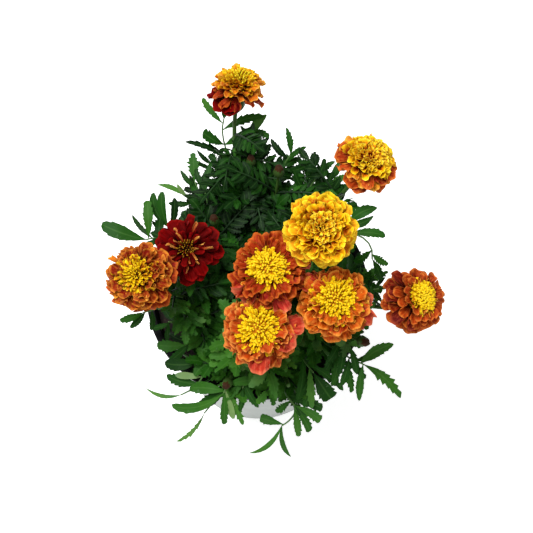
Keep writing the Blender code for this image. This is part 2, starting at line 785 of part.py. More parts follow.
def build():
    draw = random.Random(SEED)
    cover_pot()
    grow_pot()
    soil()
    stems = {}
    for stem in FEET:
        stems[stem] = stem_solid(stem)
        space.add("stem_" + stem, *stems[stem])
    pieces = {stem: [] for stem in FEET}
    for stem in [*HEADS, *BUDS]:
        green = cup(stem)
        pieces[stem].append(green)
        space.add("stem_" + stem, *green)
    for stem in BUDS:
        bud_tip(stem)
    for stem in HEADS:
        space.add("petals_" + stem, *core_of(stem))
        space.add("petals_" + stem, *crest_of(stem))
    for stem in HEADS:
        flower_head(stem, draw)
    for stem, height, tip, arch, *form in FRONDS:
        leaf = free_frond(stem, height, tip, arch, *form)
        if leaf is None:
            print("no room for a leaf on stem", stem, tip)
            continue
        pieces[stem].append(leaf)
        space.add("leaf_" + stem, *leaf)
    for stem, base in stems.items():
        made = make_object("stem_" + stem, *base, "foliage")
        if pieces[stem]:
            boolean(made, "UNION", pieces[stem], "foliage")


build()
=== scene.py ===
# %% [markdown]
# # A French marigold in its pot
#
# A nursery marigold is a thin black grow pot full of soil, standing in a light grey cover pot,
# with a bush of feathery leaves and, above it, blooms on upright stems. The CAD model already
# has every piece in its place as a plain solid. Here each one gets its real surface: petals
# with ruffled rims, quilled florets, toothed leaflets, crumbly soil and moulded plastic.
# All sizes below are in millimetres and become metres when a piece is made.

import bpy
import numpy as np
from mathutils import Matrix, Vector


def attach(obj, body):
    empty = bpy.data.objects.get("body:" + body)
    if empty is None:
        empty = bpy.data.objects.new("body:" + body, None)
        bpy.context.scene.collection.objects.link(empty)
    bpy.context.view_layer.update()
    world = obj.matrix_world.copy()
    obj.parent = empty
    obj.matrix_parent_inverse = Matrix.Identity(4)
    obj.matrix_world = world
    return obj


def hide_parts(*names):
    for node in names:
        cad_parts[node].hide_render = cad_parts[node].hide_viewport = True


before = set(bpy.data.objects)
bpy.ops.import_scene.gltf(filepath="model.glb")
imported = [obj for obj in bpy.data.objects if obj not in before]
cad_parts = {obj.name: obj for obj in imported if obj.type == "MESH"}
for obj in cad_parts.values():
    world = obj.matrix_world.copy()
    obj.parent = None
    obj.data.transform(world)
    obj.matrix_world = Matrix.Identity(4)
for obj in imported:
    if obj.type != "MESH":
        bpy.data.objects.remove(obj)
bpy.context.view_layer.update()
MM = 0.001
GOLDEN_ANGLE = np.pi * (3 - np.sqrt(5))

# %% [markdown]
# ## Meshes from whole arrays
#
# A petal, a leaflet and a pot wall are all one idea: a grid of points with four-sided faces
# between them. So one helper weaves the faces of a grid, one repeats them for many copies at
# once, and one puts the result into a Blender mesh. Each point also carries three marks
# (across, along and a number drawn for its petal or leaflet), which the materials read, so a
# colour can follow the petal from its heart to its rim.


# %% Grids and pieces
def unit(vectors):
    """Each vector divided by its own length."""
    return vectors / np.maximum(np.linalg.norm(vectors, axis=-1, keepdims=True), 1e-9)


def circle(sides):
    """Even angles that go once round."""
    return np.linspace(0, 2 * np.pi, sides, endpoint=False)


def rings_of(wide, angle, level):
    """Points at a distance from the upright axis, an angle round it and a level along it."""
    return np.stack(np.broadcast_arrays(wide * np.cos(angle), wide * np.sin(angle), level), -1)


def grid_marks(across, along, seed):
    """The three marks of every point of a grid."""
    return np.stack(np.broadcast_arrays(across, along, seed), -1)


def weave(rows, columns, around=False):
    """Quads between neighbouring points of a grid; with around, the last column joins the first."""
    row = np.arange(rows - 1)[:, None]
    column = np.arange(columns if around else columns - 1)[None, :]
    after = (column + 1) % columns
    corners = [row * columns + column, row * columns + after]
    corners += [(row + 1) * columns + after, (row + 1) * columns + column]
    return np.stack(corners, -1).reshape(-1, 4)


def stamp(faces, points_each, copies):
    """The same faces for every copy: each copy's points follow the last one's in the list."""
    shifts = points_each * np.arange(copies)
    return (faces[None] + shifts[:, None, None]).reshape(-1, faces.shape[1])


def tube_faces(rings, sides, copies=1):
    """Walls between the rings of a tube and one face over each end, for every copy of it."""
    first = np.arange(sides)
    ends = np.array([first[::-1], (rings - 1) * sides + first])
    return [stamp(block, rings * sides, copies) for block in (weave(rings, sides, around=True), ends)]


def pole_faces(rings, sides):
    """Walls between rings, and a fan of triangles over each end, to two points that come after
    all the rings in the list."""
    first = np.arange(sides)
    last = (rings - 1) * sides + first
    near = np.stack([np.full(sides, rings * sides), np.roll(first, -1), first], 1)
    far = np.stack([np.full(sides, rings * sides + 1), last, np.roll(last, -1)], 1)
    return [weave(rings, sides, around=True), near, far]


print("faces of a tube of 8 rings and 6 sides:", sum(len(block) for block in tube_faces(8, 6)))


# %% From layers to a piece
class Layer:
    """Points, their marks, the faces between them, and the paint they take."""

    def __init__(self, points, faces, paint, marks=None):
        """Without marks, every mark is 0."""
        self.points = points.reshape(-1, 3)
        self.faces = faces
        self.paint = paint
        self.marks = np.zeros_like(self.points) if marks is None else marks.reshape(-1, 3)


def signed_volume(points, faces):
    """Sum over the faces of corner . (corner x corner) / 6: positive when they point outwards."""
    total = 0.0
    for block in faces:
        first = points[block[:, 0]]
        for k in range(1, block.shape[1] - 1):
            total += np.sum(first * np.cross(points[block[:, k]], points[block[:, k + 1]])) / 6
    return total


def joined(layers):
    """Corners, sizes and paint numbers of all the faces, and the paints. A layer whose faces
    point inwards has each of them turned over."""
    corners, sizes, numbers, paints = [], [], [], []
    start = 0
    for layer in layers:
        if layer.paint not in paints:
            paints.append(layer.paint)
        step = -1 if signed_volume(layer.points, layer.faces) < 0 else 1
        for block in layer.faces:
            corners.append((block[:, ::step] + start).ravel())
            sizes.append(np.full(len(block), block.shape[1]))
            numbers.append(np.full(len(block), paints.index(layer.paint)))
        start += len(layer.points)
    return *(np.concatenate(lists).astype(np.int32) for lists in (corners, sizes, numbers)), paints


def new_object(name, data):
    """An object for its data, linked into the scene."""
    made = bpy.data.objects.new(name, data)
    bpy.context.scene.collection.objects.link(made)
    return made


def make_piece(name, layers, nodes, sharp=None):
    """One mesh of all the layers, which rides on the part and replaces its CAD nodes. Edges
    sharper than sharp, in degrees, stay crisp."""
    points = np.concatenate([layer.points for layer in layers]) * MM
    marks = np.concatenate([layer.marks for layer in layers])
    corners, sizes, numbers, paints = joined(layers)
    mesh = bpy.data.meshes.new(name)
    mesh.vertices.add(len(points))
    mesh.vertices.foreach_set("co", points.astype(np.float32).ravel())
    mesh.loops.add(len(corners))
    mesh.loops.foreach_set("vertex_index", corners)
    mesh.polygons.add(len(sizes))
    mesh.polygons.foreach_set("loop_start", (np.cumsum(sizes) - sizes).astype(np.int32))
    mesh.polygons.foreach_set("material_index", numbers)
    mesh.update(calc_edges=True)
    mark = mesh.attributes.new("mark", "FLOAT_VECTOR", "POINT")
    mark.data.foreach_set("vector", marks.astype(np.float32).ravel())
    mesh.shade_smooth()
    if sharp:
        mesh.set_sharp_from_angle(angle=np.radians(sharp))
    for paint in paints:
        mesh.materials.append(paint)
    piece = new_object(name, mesh)
    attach(piece, "root")
    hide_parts(*nodes)
    print(name, "triangles:", int((sizes - 2).sum()))


# %% [markdown]
# ## Paint
#
# A material in Blender is a small graph of nodes that ends in the Principled shader. The class
# below keeps that graph short to write. Constants such as roughness are set on the shader's
# own sockets; only what changes over the surface is a node. Colours are given as they look on
# a screen and are made linear, because light adds up linearly.


# %% A short way to write node graphs
def colour(red, green, blue):
    """Screen values from 0 to 255, each over 255 and raised to the power 2.2."""
    return (*(float(c) for c in (np.array([red, green, blue]) / 255.0) ** 2.2), 1.0)


class Paint:
    """A material whose nodes are added one line at a time."""

    def __init__(self, name, roughness, **sockets):
        """The other constants are named as the shader names them, with _ for each space."""
        self.material = bpy.data.materials.new(name)
        self.material.use_nodes = True
        self.tree = self.material.node_tree
        self.shader = self.tree.nodes["Principled BSDF"]
        self.shader.inputs["Roughness"].default_value = roughness
        for socket, value in sockets.items():
            self.shader.inputs[socket.replace("_", " ")].default_value = value

    def node(self, kind, inputs=None, **settings):
        """A node with its settings; an input is a number, or the output that feeds it."""
        made = self.tree.nodes.new("ShaderNode" + kind)
        for key, value in settings.items():
            setattr(made, key, value)
        for key, value in (inputs or {}).items():
            if isinstance(value, bpy.types.NodeSocket):
                self.tree.links.new(value, made.inputs[key])
            else:
                made.inputs[key].default_value = value
        return made

    def marks(self):
        """The three marks of a point: across, along, and the number drawn for its petal."""
        read = self.node("Attribute", attribute_name="mark")
        return self.node("SeparateXYZ", {0: read.outputs["Vector"]}).outputs

    def math(self, operation, a, b=0.0, clamp=False):
        """One operation on two values; with clamp the result stays between 0 and 1."""
        return self.node("Math", {0: a, 1: b}, operation=operation, use_clamp=clamp).outputs[0]

    def times(self, a, b, clamp=False):
        """The product a * b."""
        return self.math("MULTIPLY", a, b, clamp)

    def minus(self, a, b, clamp=False):
        """The difference a - b."""
        return self.math("SUBTRACT", a, b, clamp)

    def mix(self, share, a, b, blend="MIX"):
        """Colour a with a share of colour b over it."""
        made = self.node("Mix", {0: share, 6: a, 7: b}, data_type="RGBA", blend_type=blend)
        return made.outputs[2]

    def tint(self, base, over, where, most, blend="MIX"):
        """A base colour with another over it, by the share most where the value is 1."""
        return self.mix(self.times(where, most), base, over, blend)

    def ramp(self, value, *stops):
        """A colour for each value: stops are (value, colour), from low to high."""
        made = self.node("ValToRGB", {0: value})
        elements = made.color_ramp.elements
        while len(elements) < len(stops):
            elements.new(0.5)
        for element, (place, shade) in zip(elements, stops):
            element.position = place
            element.color = shade
        return made.outputs[0]

    def noise(self, where, scale, detail, roughness=0.5):
        """Cloudy noise around 0.5 with about scale patches in a metre."""
        inputs = {"Vector": where, "Scale": scale, "Detail": detail, "Roughness": roughness}
        return self.node("TexNoise", inputs).outputs[0]

    def place(self):
        """The point's own place, in metres."""
        return self.node("TexCoord").outputs["Object"]

    def finish(self, base, bump, depth, strength):
        """Colour into the shader, and a height into its normal: bump times depth in metres."""
        self.tree.links.new(base, self.shader.inputs["Base Color"])
        raised = self.node("Bump", {"Height": bump, "Distance": depth, "Strength": strength})
        self.tree.links.new(raised.outputs[0], self.shader.inputs["Normal"])
        return self.material


print("a mid grey on the screen is", round(colour(128, 128, 128)[0], 3), "in light")


# %% [markdown]
# ## Petals
#
# A ray petal is a strap with a narrow claw at its foot and a wide, ruffled end. Its surface is
# a function of two numbers: along, from the heart to the rim, and across, from one edge to the
# other. The middle line turns smoothly from one slope to another, the width opens like a fan,
# and the rim gets three shallow lobes and a wave that grows outwards. The upper and the lower
# side share their edge points, so each petal is a closed, paper-thin body.


# %% The petal surface
PETAL_THICKNESS = 0.4
INNER = slice(1, -1)


def arc(foot, height, length, rise, bend, share):
    """The middle line of petals in their own upright plane: the slope is rise + bend * share,
    and the position is the running sum of its cosine (outward) and sine (upward)."""
    slope = np.radians(rise[:, None] + bend[:, None] * share[None, :])
    middle = (slope[:, 1:] + slope[:, :-1]) / 2
    step = length[:, None] * np.diff(share)[None, :]
    zero = np.zeros((len(foot), 1))
    out = foot[:, None] + np.concatenate([zero, np.cumsum(np.cos(middle) * step, 1)], 1)
    up = height[:, None] + np.concatenate([zero, np.cumsum(np.sin(middle) * step, 1)], 1)
    return out, up, slope


def turned(out, side, up, turn):
    """Points given as outward, sideways and upward, turned round the head's axis."""
    cos = np.cos(turn).reshape(-1, *([1] * (out.ndim - 1)))
    sin = np.sin(turn).reshape(-1, *([1] * (out.ndim - 1)))
    return np.stack([out * cos - side * sin, out * sin + side * cos, up], -1)


def each(value, count):
    """One number for each of count copies."""
    return np.broadcast_to(np.asarray(value, float), count)


def sheet_faces(rows, columns):
    """Faces of a grid and of the same grid turned over. The lower one keeps the upper one's
    edge points, and its inner points come after the upper ones in the list."""
    quads = weave(rows, columns)
    under = np.arange(rows * columns).reshape(rows, columns)
    own = rows * columns + np.arange((rows - 2) * (columns - 2))
    under[INNER, INNER] = own.reshape(rows - 2, columns - 2)
    return np.concatenate([quads, under.ravel()[quads][:, ::-1]])


def both_sides(upper, lower):
    """For each copy the values of the upper grid, then those of the lower grid's inner points."""
    count = len(upper)
    return np.concatenate([
        upper.reshape(count, -1, 3), lower[:, INNER, INNER].reshape(count, -1, 3)], 1)


def rim_pull(u, skew, blunt, notch, lobes):
    """How far the rim is pulled back: blunt * (1 - cos(u * pi / 2)) for its round end, and
    notch times a cosine wave for its lobes."""
    return blunt * (1 - np.cos(u * np.pi / 2)) + notch * (0.5 - 0.5 * np.cos(np.pi * (lobes * u + skew)))


def sheet_lift(u, v, cup, ruffle, crumple, waves, phase):
    """How far the sheet leaves its middle plane: cup * u squared, plus a sine wave that grows
    with v squared, plus a crumple, sine of u times sine of v."""
    wave = np.sin(np.pi * waves * u + phase + 2.0 * v) * (0.35 + 0.65 * np.abs(u)) * v ** 2
    crease = np.sin(np.pi * 1.7 * u + 3.0 * phase) * np.sin(3 * np.pi * v + phase) * np.sqrt(v)
    return cup * u * u * np.sqrt(v) + ruffle * wave + crumple * crease


def petal_layer(paint, turn, foot, height, length, width, rise, bend, draw, cup=0.1, ruffle=0.2,
                crumple=0.16, waves=1.8, roll=20.0, sway=0.12, lobes=2.6, notch=0.14, blunt=0.9,
                claw=0.28, rows=8, columns=15):
    """Petals, with u from -1 to 1 across and v from 0 to 1 along. Half width = width / 2 *
    (claw + (1 - claw) * smooth step of v). The pull and the lift above are in half widths, and
    a shallow groove follows the middle. Then the sheet rolls round its middle line and sways
    to one side, both more towards the tip."""
    count = len(turn)
    foot, height, length, width, rise = (each(v, count) for v in (foot, height, length, width, rise))
    bend = each(bend, count) + draw.uniform(-1, 1, count) * (4 + 0.35 * np.abs(bend))
    cup = (each(cup, count) + draw.uniform(-0.16, 0.16, count))[:, None, None]
    ruffle = (each(ruffle, count) * draw.uniform(0.6, 1.35, count))[:, None, None]
    roll = np.radians(draw.normal(0, roll, count))[:, None, None]
    sway = (draw.uniform(-sway, sway, count) * length)[:, None, None]
    phase = draw.uniform(0, 2 * np.pi, (count, 1, 1))
    skew = draw.uniform(-0.5, 0.5, (count, 1, 1))
    along = np.linspace(0, 1, rows) ** 0.85
    out, up, slope = arc(foot, height, length, rise, bend, along)
    u = np.linspace(-1, 1, columns)[None, None, :]
    v = along[None, :, None]
    opened = np.clip(v / 0.72, 0, 1)
    opened = opened * opened * (3 - 2 * opened)
    half = (width / 2)[:, None, None] * (claw + (1 - claw) * opened)
    slide = -half * rim_pull(u, skew, blunt, notch, lobes) * v ** 3
    lift = half * sheet_lift(u, v, cup, ruffle, crumple, waves, phase)
    lift = lift - 0.08 * half * np.exp(-(u / 0.2) ** 2) * np.sin(np.pi * v)
    side = half * ((1 - v ** 2) * u + v ** 2 * np.sin(u * np.pi / 2)) + 0 * lift
    side, lift = (side * np.cos(roll * v) - lift * np.sin(roll * v) + sway * v * v,
                  side * np.sin(roll * v) + lift * np.cos(roll * v))
    cos = np.cos(slope)[:, :, None]
    sin = np.sin(slope)[:, :, None]
    far = out[:, :, None] + cos * slide - sin * lift
    high = up[:, :, None] + sin * slide + cos * lift
    top = turned(far, side, high, turn)
    below = turned(far + sin * PETAL_THICKNESS, side, high - cos * PETAL_THICKNESS, turn)
    points = both_sides(top, below)
    marks = grid_marks(u * 0.5 + 0.5, v, draw.uniform(0, 1, (count, 1, 1)))
    faces = stamp(sheet_faces(rows, columns), points.shape[1], count)
    return Layer(points, [faces], paint, both_sides(marks, marks))


print("faces of a petal of 8 rows and 15 columns:", len(sheet_faces(8, 15)))


# %% [markdown]
# ## Quills
#
# The crest of a French marigold is a dense head of small tubular florets. Each is a slender
# tube that swells into a club and opens at its end. They sit in the spiral that packs any
# number of florets evenly: each next one turns by the golden angle, and its distance from the
# middle grows with the square root of its number. Inner quills stand up, outer ones lean out.


# %% The quill surface
QUILL_ALONG = np.array([0.0, 0.28, 0.50, 0.70, 0.86, 0.96, 1.0, 0.95])
QUILL_GIRTH = np.array([0.42, 0.44, 0.62, 0.86, 1.0, 0.90, 0.56, 0.26])


def quill_layer(paint, turn, foot, height, length, girth, rise, bend, draw, sides=6):
    """Tubes round a bent middle line; girth times a fixed profile is each ring's radius, and
    the last ring turns back inside, so the end is open and the body is closed."""
    count = len(turn)
    foot, height, length, girth, rise, bend = (
        each(v, count) for v in (foot, height, length, girth, rise, bend))
    out, up, slope = arc(foot, height, length, rise, bend, QUILL_ALONG)
    angle = circle(sides)
    radius = (girth[:, None] * QUILL_GIRTH)[:, :, None]
    lobed = 1 + 0.12 * np.cos(3 * angle)[None, None, :] * (QUILL_ALONG > 0.8)[None, :, None]
    around = radius * lobed * np.cos(angle)
    across = radius * lobed * np.sin(angle)
    far = out[:, :, None] - np.sin(slope)[:, :, None] * around
    high = up[:, :, None] + np.cos(slope)[:, :, None] * around
    points = turned(far, across, high, turn)
    marks = grid_marks(angle / (2 * np.pi), QUILL_ALONG[:, None], draw.uniform(0, 1, (count, 1, 1)))
    return Layer(points, tube_faces(len(QUILL_ALONG), sides, count), paint, marks)


def packed(count, radius, low, high, length, draw, steep, flat, first=0.0):
    """Florets in the sunflower spiral, placed by their tips. With share = number / count: turn
    = number * golden angle, tip = radius * sqrt(share) out and between high and low up, mean
    slope from steep to flat. The foot lies one length back down that slope."""
    share = first + (1 - first) * (np.arange(count) + 0.5) / count
    turn = np.arange(count) * GOLDEN_ANGLE + draw.uniform(-0.2, 0.2, count)
    slope = steep + (flat - steep) * share ** 0.7 + draw.uniform(-13, 13, count)
    long = length * (0.72 + 0.28 * share) * draw.uniform(0.85, 1.12, count)
    first_wave, second_wave = draw.uniform(0, 2 * np.pi, 2)
    uneven = 1 + 0.05 * np.sin(2 * turn + first_wave) + 0.05 * np.sin(5 * turn + second_wave)
    out = radius * np.sqrt(share) * uneven * draw.uniform(0.84, 1.08, count)
    up = low + (high - low) * np.sqrt(1 - share ** 1.5) * draw.uniform(0.86, 1.06, count)
    foot = out - long * np.cos(np.radians(slope))
    height = up - long * np.sin(np.radians(slope))
    return share, turn, foot, height, long, slope


def quill_dome(paint, count, radius, low, high, length, girth, draw, steep=84.0, flat=16.0, bend=-18.0):
    """A crest of quills packed in the spiral: upright in the middle, leaning out at its edge."""
    share, turn, foot, height, long, slope = packed(count, radius, low, high, length, draw, steep, flat)
    girths = girth * (0.70 + 0.30 * share) * draw.uniform(0.75, 1.15, count)
    turn = turn + draw.uniform(-0.2, 0.2, count)
    return quill_layer(paint, turn, foot, height, long, girths, slope - bend / 2, bend, draw)


print("golden angle in degrees:", round(np.degrees(GOLDEN_ANGLE), 1))


# %% [markdown]
# ## Leaves
#
# A marigold leaf is pinnate: narrow leaflets stand in pairs along a rib, with one at its end,
# and every leaflet has forward-pointing teeth. A leaflet is a profile carried along its
# midrib. The profile has four points: two edges, the groove of the midrib and its keel below.
# The half width follows a lance-shaped curve, and every second station is a tooth, a little
# wider and pushed forward.


# %% The leaflet surface
TOOTH_START = 0.14
TOOTH_END = 0.95
# Width factor and forward push of a valley and of a peak between two teeth.
TOOTH_WIDTHS = [0.80, 1.08]
TOOTH_PUSHES = [0.05, 0.50]
KEEL = 0.55
SECTION = np.array([-1.0, 0.0, 1.0, 0.0])


def leaflet_stations(teeth):
    """Share of the length, width factor and forward push at each station: base, then for each
    tooth a valley and a peak, then the tip. Last comes the room that a peak has to the next
    valley, as a share of the length."""
    pitch = (TOOTH_END - TOOTH_START) / teeth
    valleys = TOOTH_START + pitch * np.arange(teeth)
    peaks = valleys + 0.62 * pitch
    share = np.concatenate([[0.0], np.stack([valleys, peaks], 1).ravel(), [1.0]])
    factor = np.concatenate([[1.0], np.tile(TOOTH_WIDTHS, teeth), [1.0]])
    push = np.concatenate([[0.0], np.tile(TOOTH_PUSHES, teeth), [0.0]])
    return share, factor, push, 0.34 * pitch


def lance(share, belly):
    """The lance shape s^a * (1 - s)^b over its own largest value, at s = a / (a + b). A belly
    above 1 moves the widest place outwards and rounds the tip."""
    s = np.clip(share, 0.02, 0.985)
    a = 0.5 + 0.4 * belly
    b = 0.75 / belly ** 1.5
    widest = a / (a + b)
    return s ** a * (1 - s) ** b / (widest ** a * (1 - widest) ** b)


def leaflet_layer(paint, plan, draw, teeth):
    """Leaflets from their roots. The half width is width / 2 * lance shape, and teeth scale it
    up and down. The middle bows aside by bow * length * 4 s (1 - s) and up by arch * length *
    4 s (1 - s). The blade rises from the midrib to its edges by fold, flutters by a sine wave,
    and turns round the midrib by twist * s."""
    root, count = plan["at"], len(plan["at"])
    share, factor, push, room = leaflet_stations(teeth)
    ahead = unit(plan["ahead"])
    side = unit(np.cross(plan["above"], ahead))
    above = np.cross(ahead, side)
    length, width, bow, arch, belly, sharp, fold, twist = (
        plan[key][:, None, None]
        for key in ("length", "width", "bow", "arch", "belly", "teeth", "fold", "twist"))
    edge = np.abs(SECTION)
    s = share[None, :, None]
    shape = lance(s, belly)
    uneven = 1 + 0.14 * sharp * draw.uniform(-1, 1, (count, len(share), 4)) * (s > 0.1)
    half = width / 2 * shape * (1 + sharp * (factor[None, :, None] - 1)) * uneven
    phase = draw.uniform(0, 2 * np.pi, (count, 1, 1))
    flutter = 0.16 * np.sin(2 * np.pi * 1.5 * s + phase + 2.2 * SECTION) * edge
    raised = half * (fold * edge + flutter)
    raised[:, :, 3] = -KEEL * (1 - 0.7 * share)
    hump = 4 * s * (1 - s)
    pushed = np.minimum(width / 2 * sharp * shape * push[None, :, None], room * length)
    forward = length * s + pushed * edge
    across = half * SECTION
    lift = raised * np.cos(twist * s) + across * np.sin(twist * s) + arch * length * hump
    across = across * np.cos(twist * s) - raised * np.sin(twist * s) + bow * length * hump
    points = (root[:, None, None, :] + forward[..., None] * ahead[:, None, None, :]
              + across[..., None] * side[:, None, None, :] + lift[..., None] * above[:, None, None, :])
    shown = np.array([0.0, 0.5, 1.0, 2.0])
    # The tone mark carries each leaflet's green with its painted light and shade, and a little random
    # spread.
    tone_and_shade = np.clip(plan["tone_and_shade"] + draw.uniform(-0.13, 0.11, count), 0, 1)[:, None, None]
    faces = tube_faces(len(share), len(SECTION), count)
    return Layer(points, faces, paint, grid_marks(shown, s, tone_and_shade))


def tube_layer(paint, path, radii, sides, ribs=0.0, seed=0.5):
    """A tube through the path: each ring is spread by cosine and sine over two directions
    square to the path; ribs adds a ripple round it."""
    tangent = unit(np.gradient(path, axis=0))
    side = unit(np.cross(tangent, np.array([0.31, 0.95, 0.02])))
    other = np.cross(tangent, side)
    angle = circle(sides)
    wide = radii[:, None] * (1 + ribs * np.cos(4 * angle))[None, :]
    points = (path[:, None, :] + (wide * np.cos(angle))[..., None] * side[:, None, :]
              + (wide * np.sin(angle))[..., None] * other[:, None, :])
    marks = grid_marks(angle / (2 * np.pi), np.linspace(0, 1, len(path))[:, None], seed)
    return Layer(points, tube_faces(len(path), sides), paint, marks)


print("faces of a leaflet of 5 teeth:", sum(len(block) for block in tube_faces(12, 4)))


# %% [markdown]
# ## A whole leaf
#
# The rib of each leaf is a curve with three handles: it leaves the stem, arches over its
# middle and comes down to its tip. Leaflets leave it in pairs at a forward angle, largest in
# the middle, in the plane that the rib and the level direction across it span.


# %% The pinnate leaf
RIB_STEPS = 14


def along_path(where, stations, path):
    """Points of a path at places between its stations, one coordinate after the other."""
    return np.stack([np.interp(where, stations, path[:, k]) for k in range(3)], -1)


def pinnate(root, tip, arch, bare, pairs, leaflet_length, width, tone_and_shade, draw):
    """Roots, directions and sizes of one leaf's leaflets, and its rib as path and radii. The
    rib is root (1 - t)^2 + bend 2 t (1 - t) + tip t^2, with bend above the middle by arch."""
    root = np.asarray(root, float)
    tip = np.asarray(tip, float)
    bend = (root + tip) / 2 + np.array([0, 0, arch])
    t = np.linspace(0, 1, RIB_STEPS)[:, None]
    path = root * (1 - t) ** 2 + bend * 2 * t * (1 - t) + tip * t * t
    slope = unit((bend - root) * (1 - t) + (tip - bend) * t)
    steps = np.linalg.norm(np.diff(path, axis=0), axis=1)
    reach = np.concatenate([[0], np.cumsum(steps)])
    total = reach[-1]
    level = unit(np.cross([0, 0, 1.0], tip - root))
    leaflet_length = min(leaflet_length, 0.48 * total)
    last = total - leaflet_length - 0.35 * width
    first = min(max(bare * total, 6.0), last)
    spots = np.repeat(np.linspace(first, last, pairs), 2)
    share = np.repeat(np.linspace(0, 1, pairs), 2)
    sides = np.tile([-1.0, 1.0], pairs)
    spots = spots + sides * draw.uniform(-0.4, 1.6, len(spots))
    lean = np.radians(60 - 12 * share + draw.uniform(-10, 10, len(spots)))
    sizes = leaflet_length * (0.84 + 0.16 * np.sin(np.pi * (0.2 + 0.65 * share)))
    sizes = sizes * draw.uniform(0.85, 1.06, len(spots))
    spots = np.append(spots, total - leaflet_length)
    sides = np.append(sides, 0.0)
    lean = np.append(lean, 0.0)
    sizes = np.append(sizes, leaflet_length)
    at = along_path(spots, reach, path)
    rib = unit(along_path(spots, reach, slope))
    normal = np.cross(rib, level)
    ahead = rib * np.cos(lean)[:, None] + level * (np.sin(lean) * sides)[:, None]
    ahead = ahead + normal * (draw.uniform(-0.30, 0.12, len(spots)) * np.abs(sides))[:, None]
    above = normal + level * (draw.uniform(-0.45, 0.45, len(spots)))[:, None]
    widths = width * (0.86 + 0.14 * sizes / leaflet_length) * draw.uniform(0.88, 1.12, len(spots))
    widths[-1] = widths[-1] * 1.12
    inside = reach <= total - 0.55 * leaflet_length
    count = len(spots)
    return {
        "at": at, "ahead": ahead, "above": above, "length": sizes, "width": widths,
        "bow": draw.uniform(-0.08, 0.08, count), "arch": draw.uniform(0.0, 0.08, count),
        "belly": draw.uniform(0.8, 1.1, count), "teeth": draw.uniform(0.4, 1.7, count),
        "fold": draw.uniform(0.05, 0.38, count), "twist": draw.uniform(-0.7, 0.7, count),
        "tone_and_shade": np.full(count, tone_and_shade), "rib": path[inside],
        "radii": np.linspace(0.85, 0.42, RIB_STEPS)[inside],
    }


# %% [markdown]
# ## A leaf drawn leaflet by leaflet
#
# The leaves that stand out against the light make the outline of the plant, and each has a
# shape of its own: a broad blunt one, a thin curled one, a fan of lobes. They are planned one
# by one: the rib goes through a few places, and each leaflet goes from a share of the rib to
# the place of its own tip.


# %% The drawn leaf
def through(points, steps):
    """A smooth path through a few points: each coordinate is the polynomial that passes them
    all, with one degree less than there are points, over their share of the way."""
    points = np.asarray(points, float)
    way = np.concatenate([[0], np.cumsum(np.linalg.norm(np.diff(points, axis=0), axis=1))])
    t = np.linspace(0, way[-1], steps)
    degree = len(points) - 1
    return np.stack([np.polyval(np.polyfit(way, points[:, k], degree), t) for k in range(3)], 1)


def drawn_leaf(root, rib, leaflets, draw):
    """Each leaflet is (share of the rib, tip, width, bow, belly, teeth, tone), where the tone carries
    painted light and shade with the green; its direction and length run from its place on the
    rib to its tip."""
    path = through([root, *rib], RIB_STEPS)
    share, tips, width, bow, belly, teeth, tone_and_shade = (np.array(column, float) for column in zip(*leaflets))
    at = along_path(share, np.linspace(0, 1, RIB_STEPS), path)
    ahead = tips - at
    count = len(leaflets)
    tilt = draw.uniform(-0.2, 0.2, (count, 2))
    above = np.stack([tilt[:, 0], tilt[:, 1] - 0.3, np.ones(count)], 1)
    return {
        "at": at, "ahead": ahead, "above": above, "length": np.linalg.norm(ahead, axis=1),
        "width": width, "bow": bow, "arch": draw.uniform(0.02, 0.08, count), "belly": belly,
        "teeth": teeth, "fold": draw.uniform(0.04, 0.22, count),
        "twist": draw.uniform(-0.3, 0.3, count), "tone_and_shade": tone_and_shade, "rib": path,
        "radii": np.linspace(0.95, 0.5, RIB_STEPS),
    }


# %% [markdown]
# ## The plan of the plant
#
# These are the CAD model's own numbers: where each head sits, how it leans and how wide it
# is, where each stem leaves the soil, and where each leaf starts and ends. The surfaces above
# are grown from them, so the dressed plant fills the same space as the plain one.

# %% Heads, buds, stems and leaves
SOIL_CROWN = 130.0
HOLE_FLOOR = 116.3
CUP_LENGTH = 15.0
CUP_RADIUS = 5.6
CORE_FOOT = -1.8

# Centre x, y, z, lean in degrees, the way it leans, diameter.
HEADS = {
    "a": (-12, 107, 221, 30, 75, 39),
    "b": (67, 51, 236, 18, 25, 41),
    "c": (37, -4, 264, 12, -80, 46),
    "d": (-42, -2, 227, 14, -100, 43),
    "e": (-68, -25, 240, 18, 190, 45),
    "f": (8, -22, 243, 8, 200, 50),
    "g": (2, -54, 229, 6, -100, 48),
    "h": (46, -39, 236, 6, -40, 47),
    "i": (96, -30, 212, 30, -5, 42),
}
BUD_SHARE = 0.68
# Centre x, y, z, lean, the way it leans, radius.
BUDS = {
    "j": (14, 60, 204, 20, 80, 5.0),
    "k": (-27, 26, 205, 12, 120, 4.6),
    "l": (-48, -32, 176, 20, 200, 5.2),
    "m": (-19, -73, 172, 45, 250, 4.6),
    "n": (67, -50, 190, 40, -40, 5.0),
    "p": (-4, 70, 198, 25, 90, 4.4),
}
BARE_TIPS = {"o": (20, -72, 166, 30, -80)}
FEET = {
    "a": (-10, 34), "b": (28, 28), "c": (17, 5), "d": (-26, 6), "e": (-38, -12),
    "f": (2, -8), "g": (0, -34), "h": (22, -24), "i": (42, -6),
    "j": (8, 48), "k": (-26, 26), "l": (-42, -30), "m": (-16, -50), "n": (42, -34),
    "o": (14, -52), "p": (0, 22),
}
FROND_PAIRS = 3
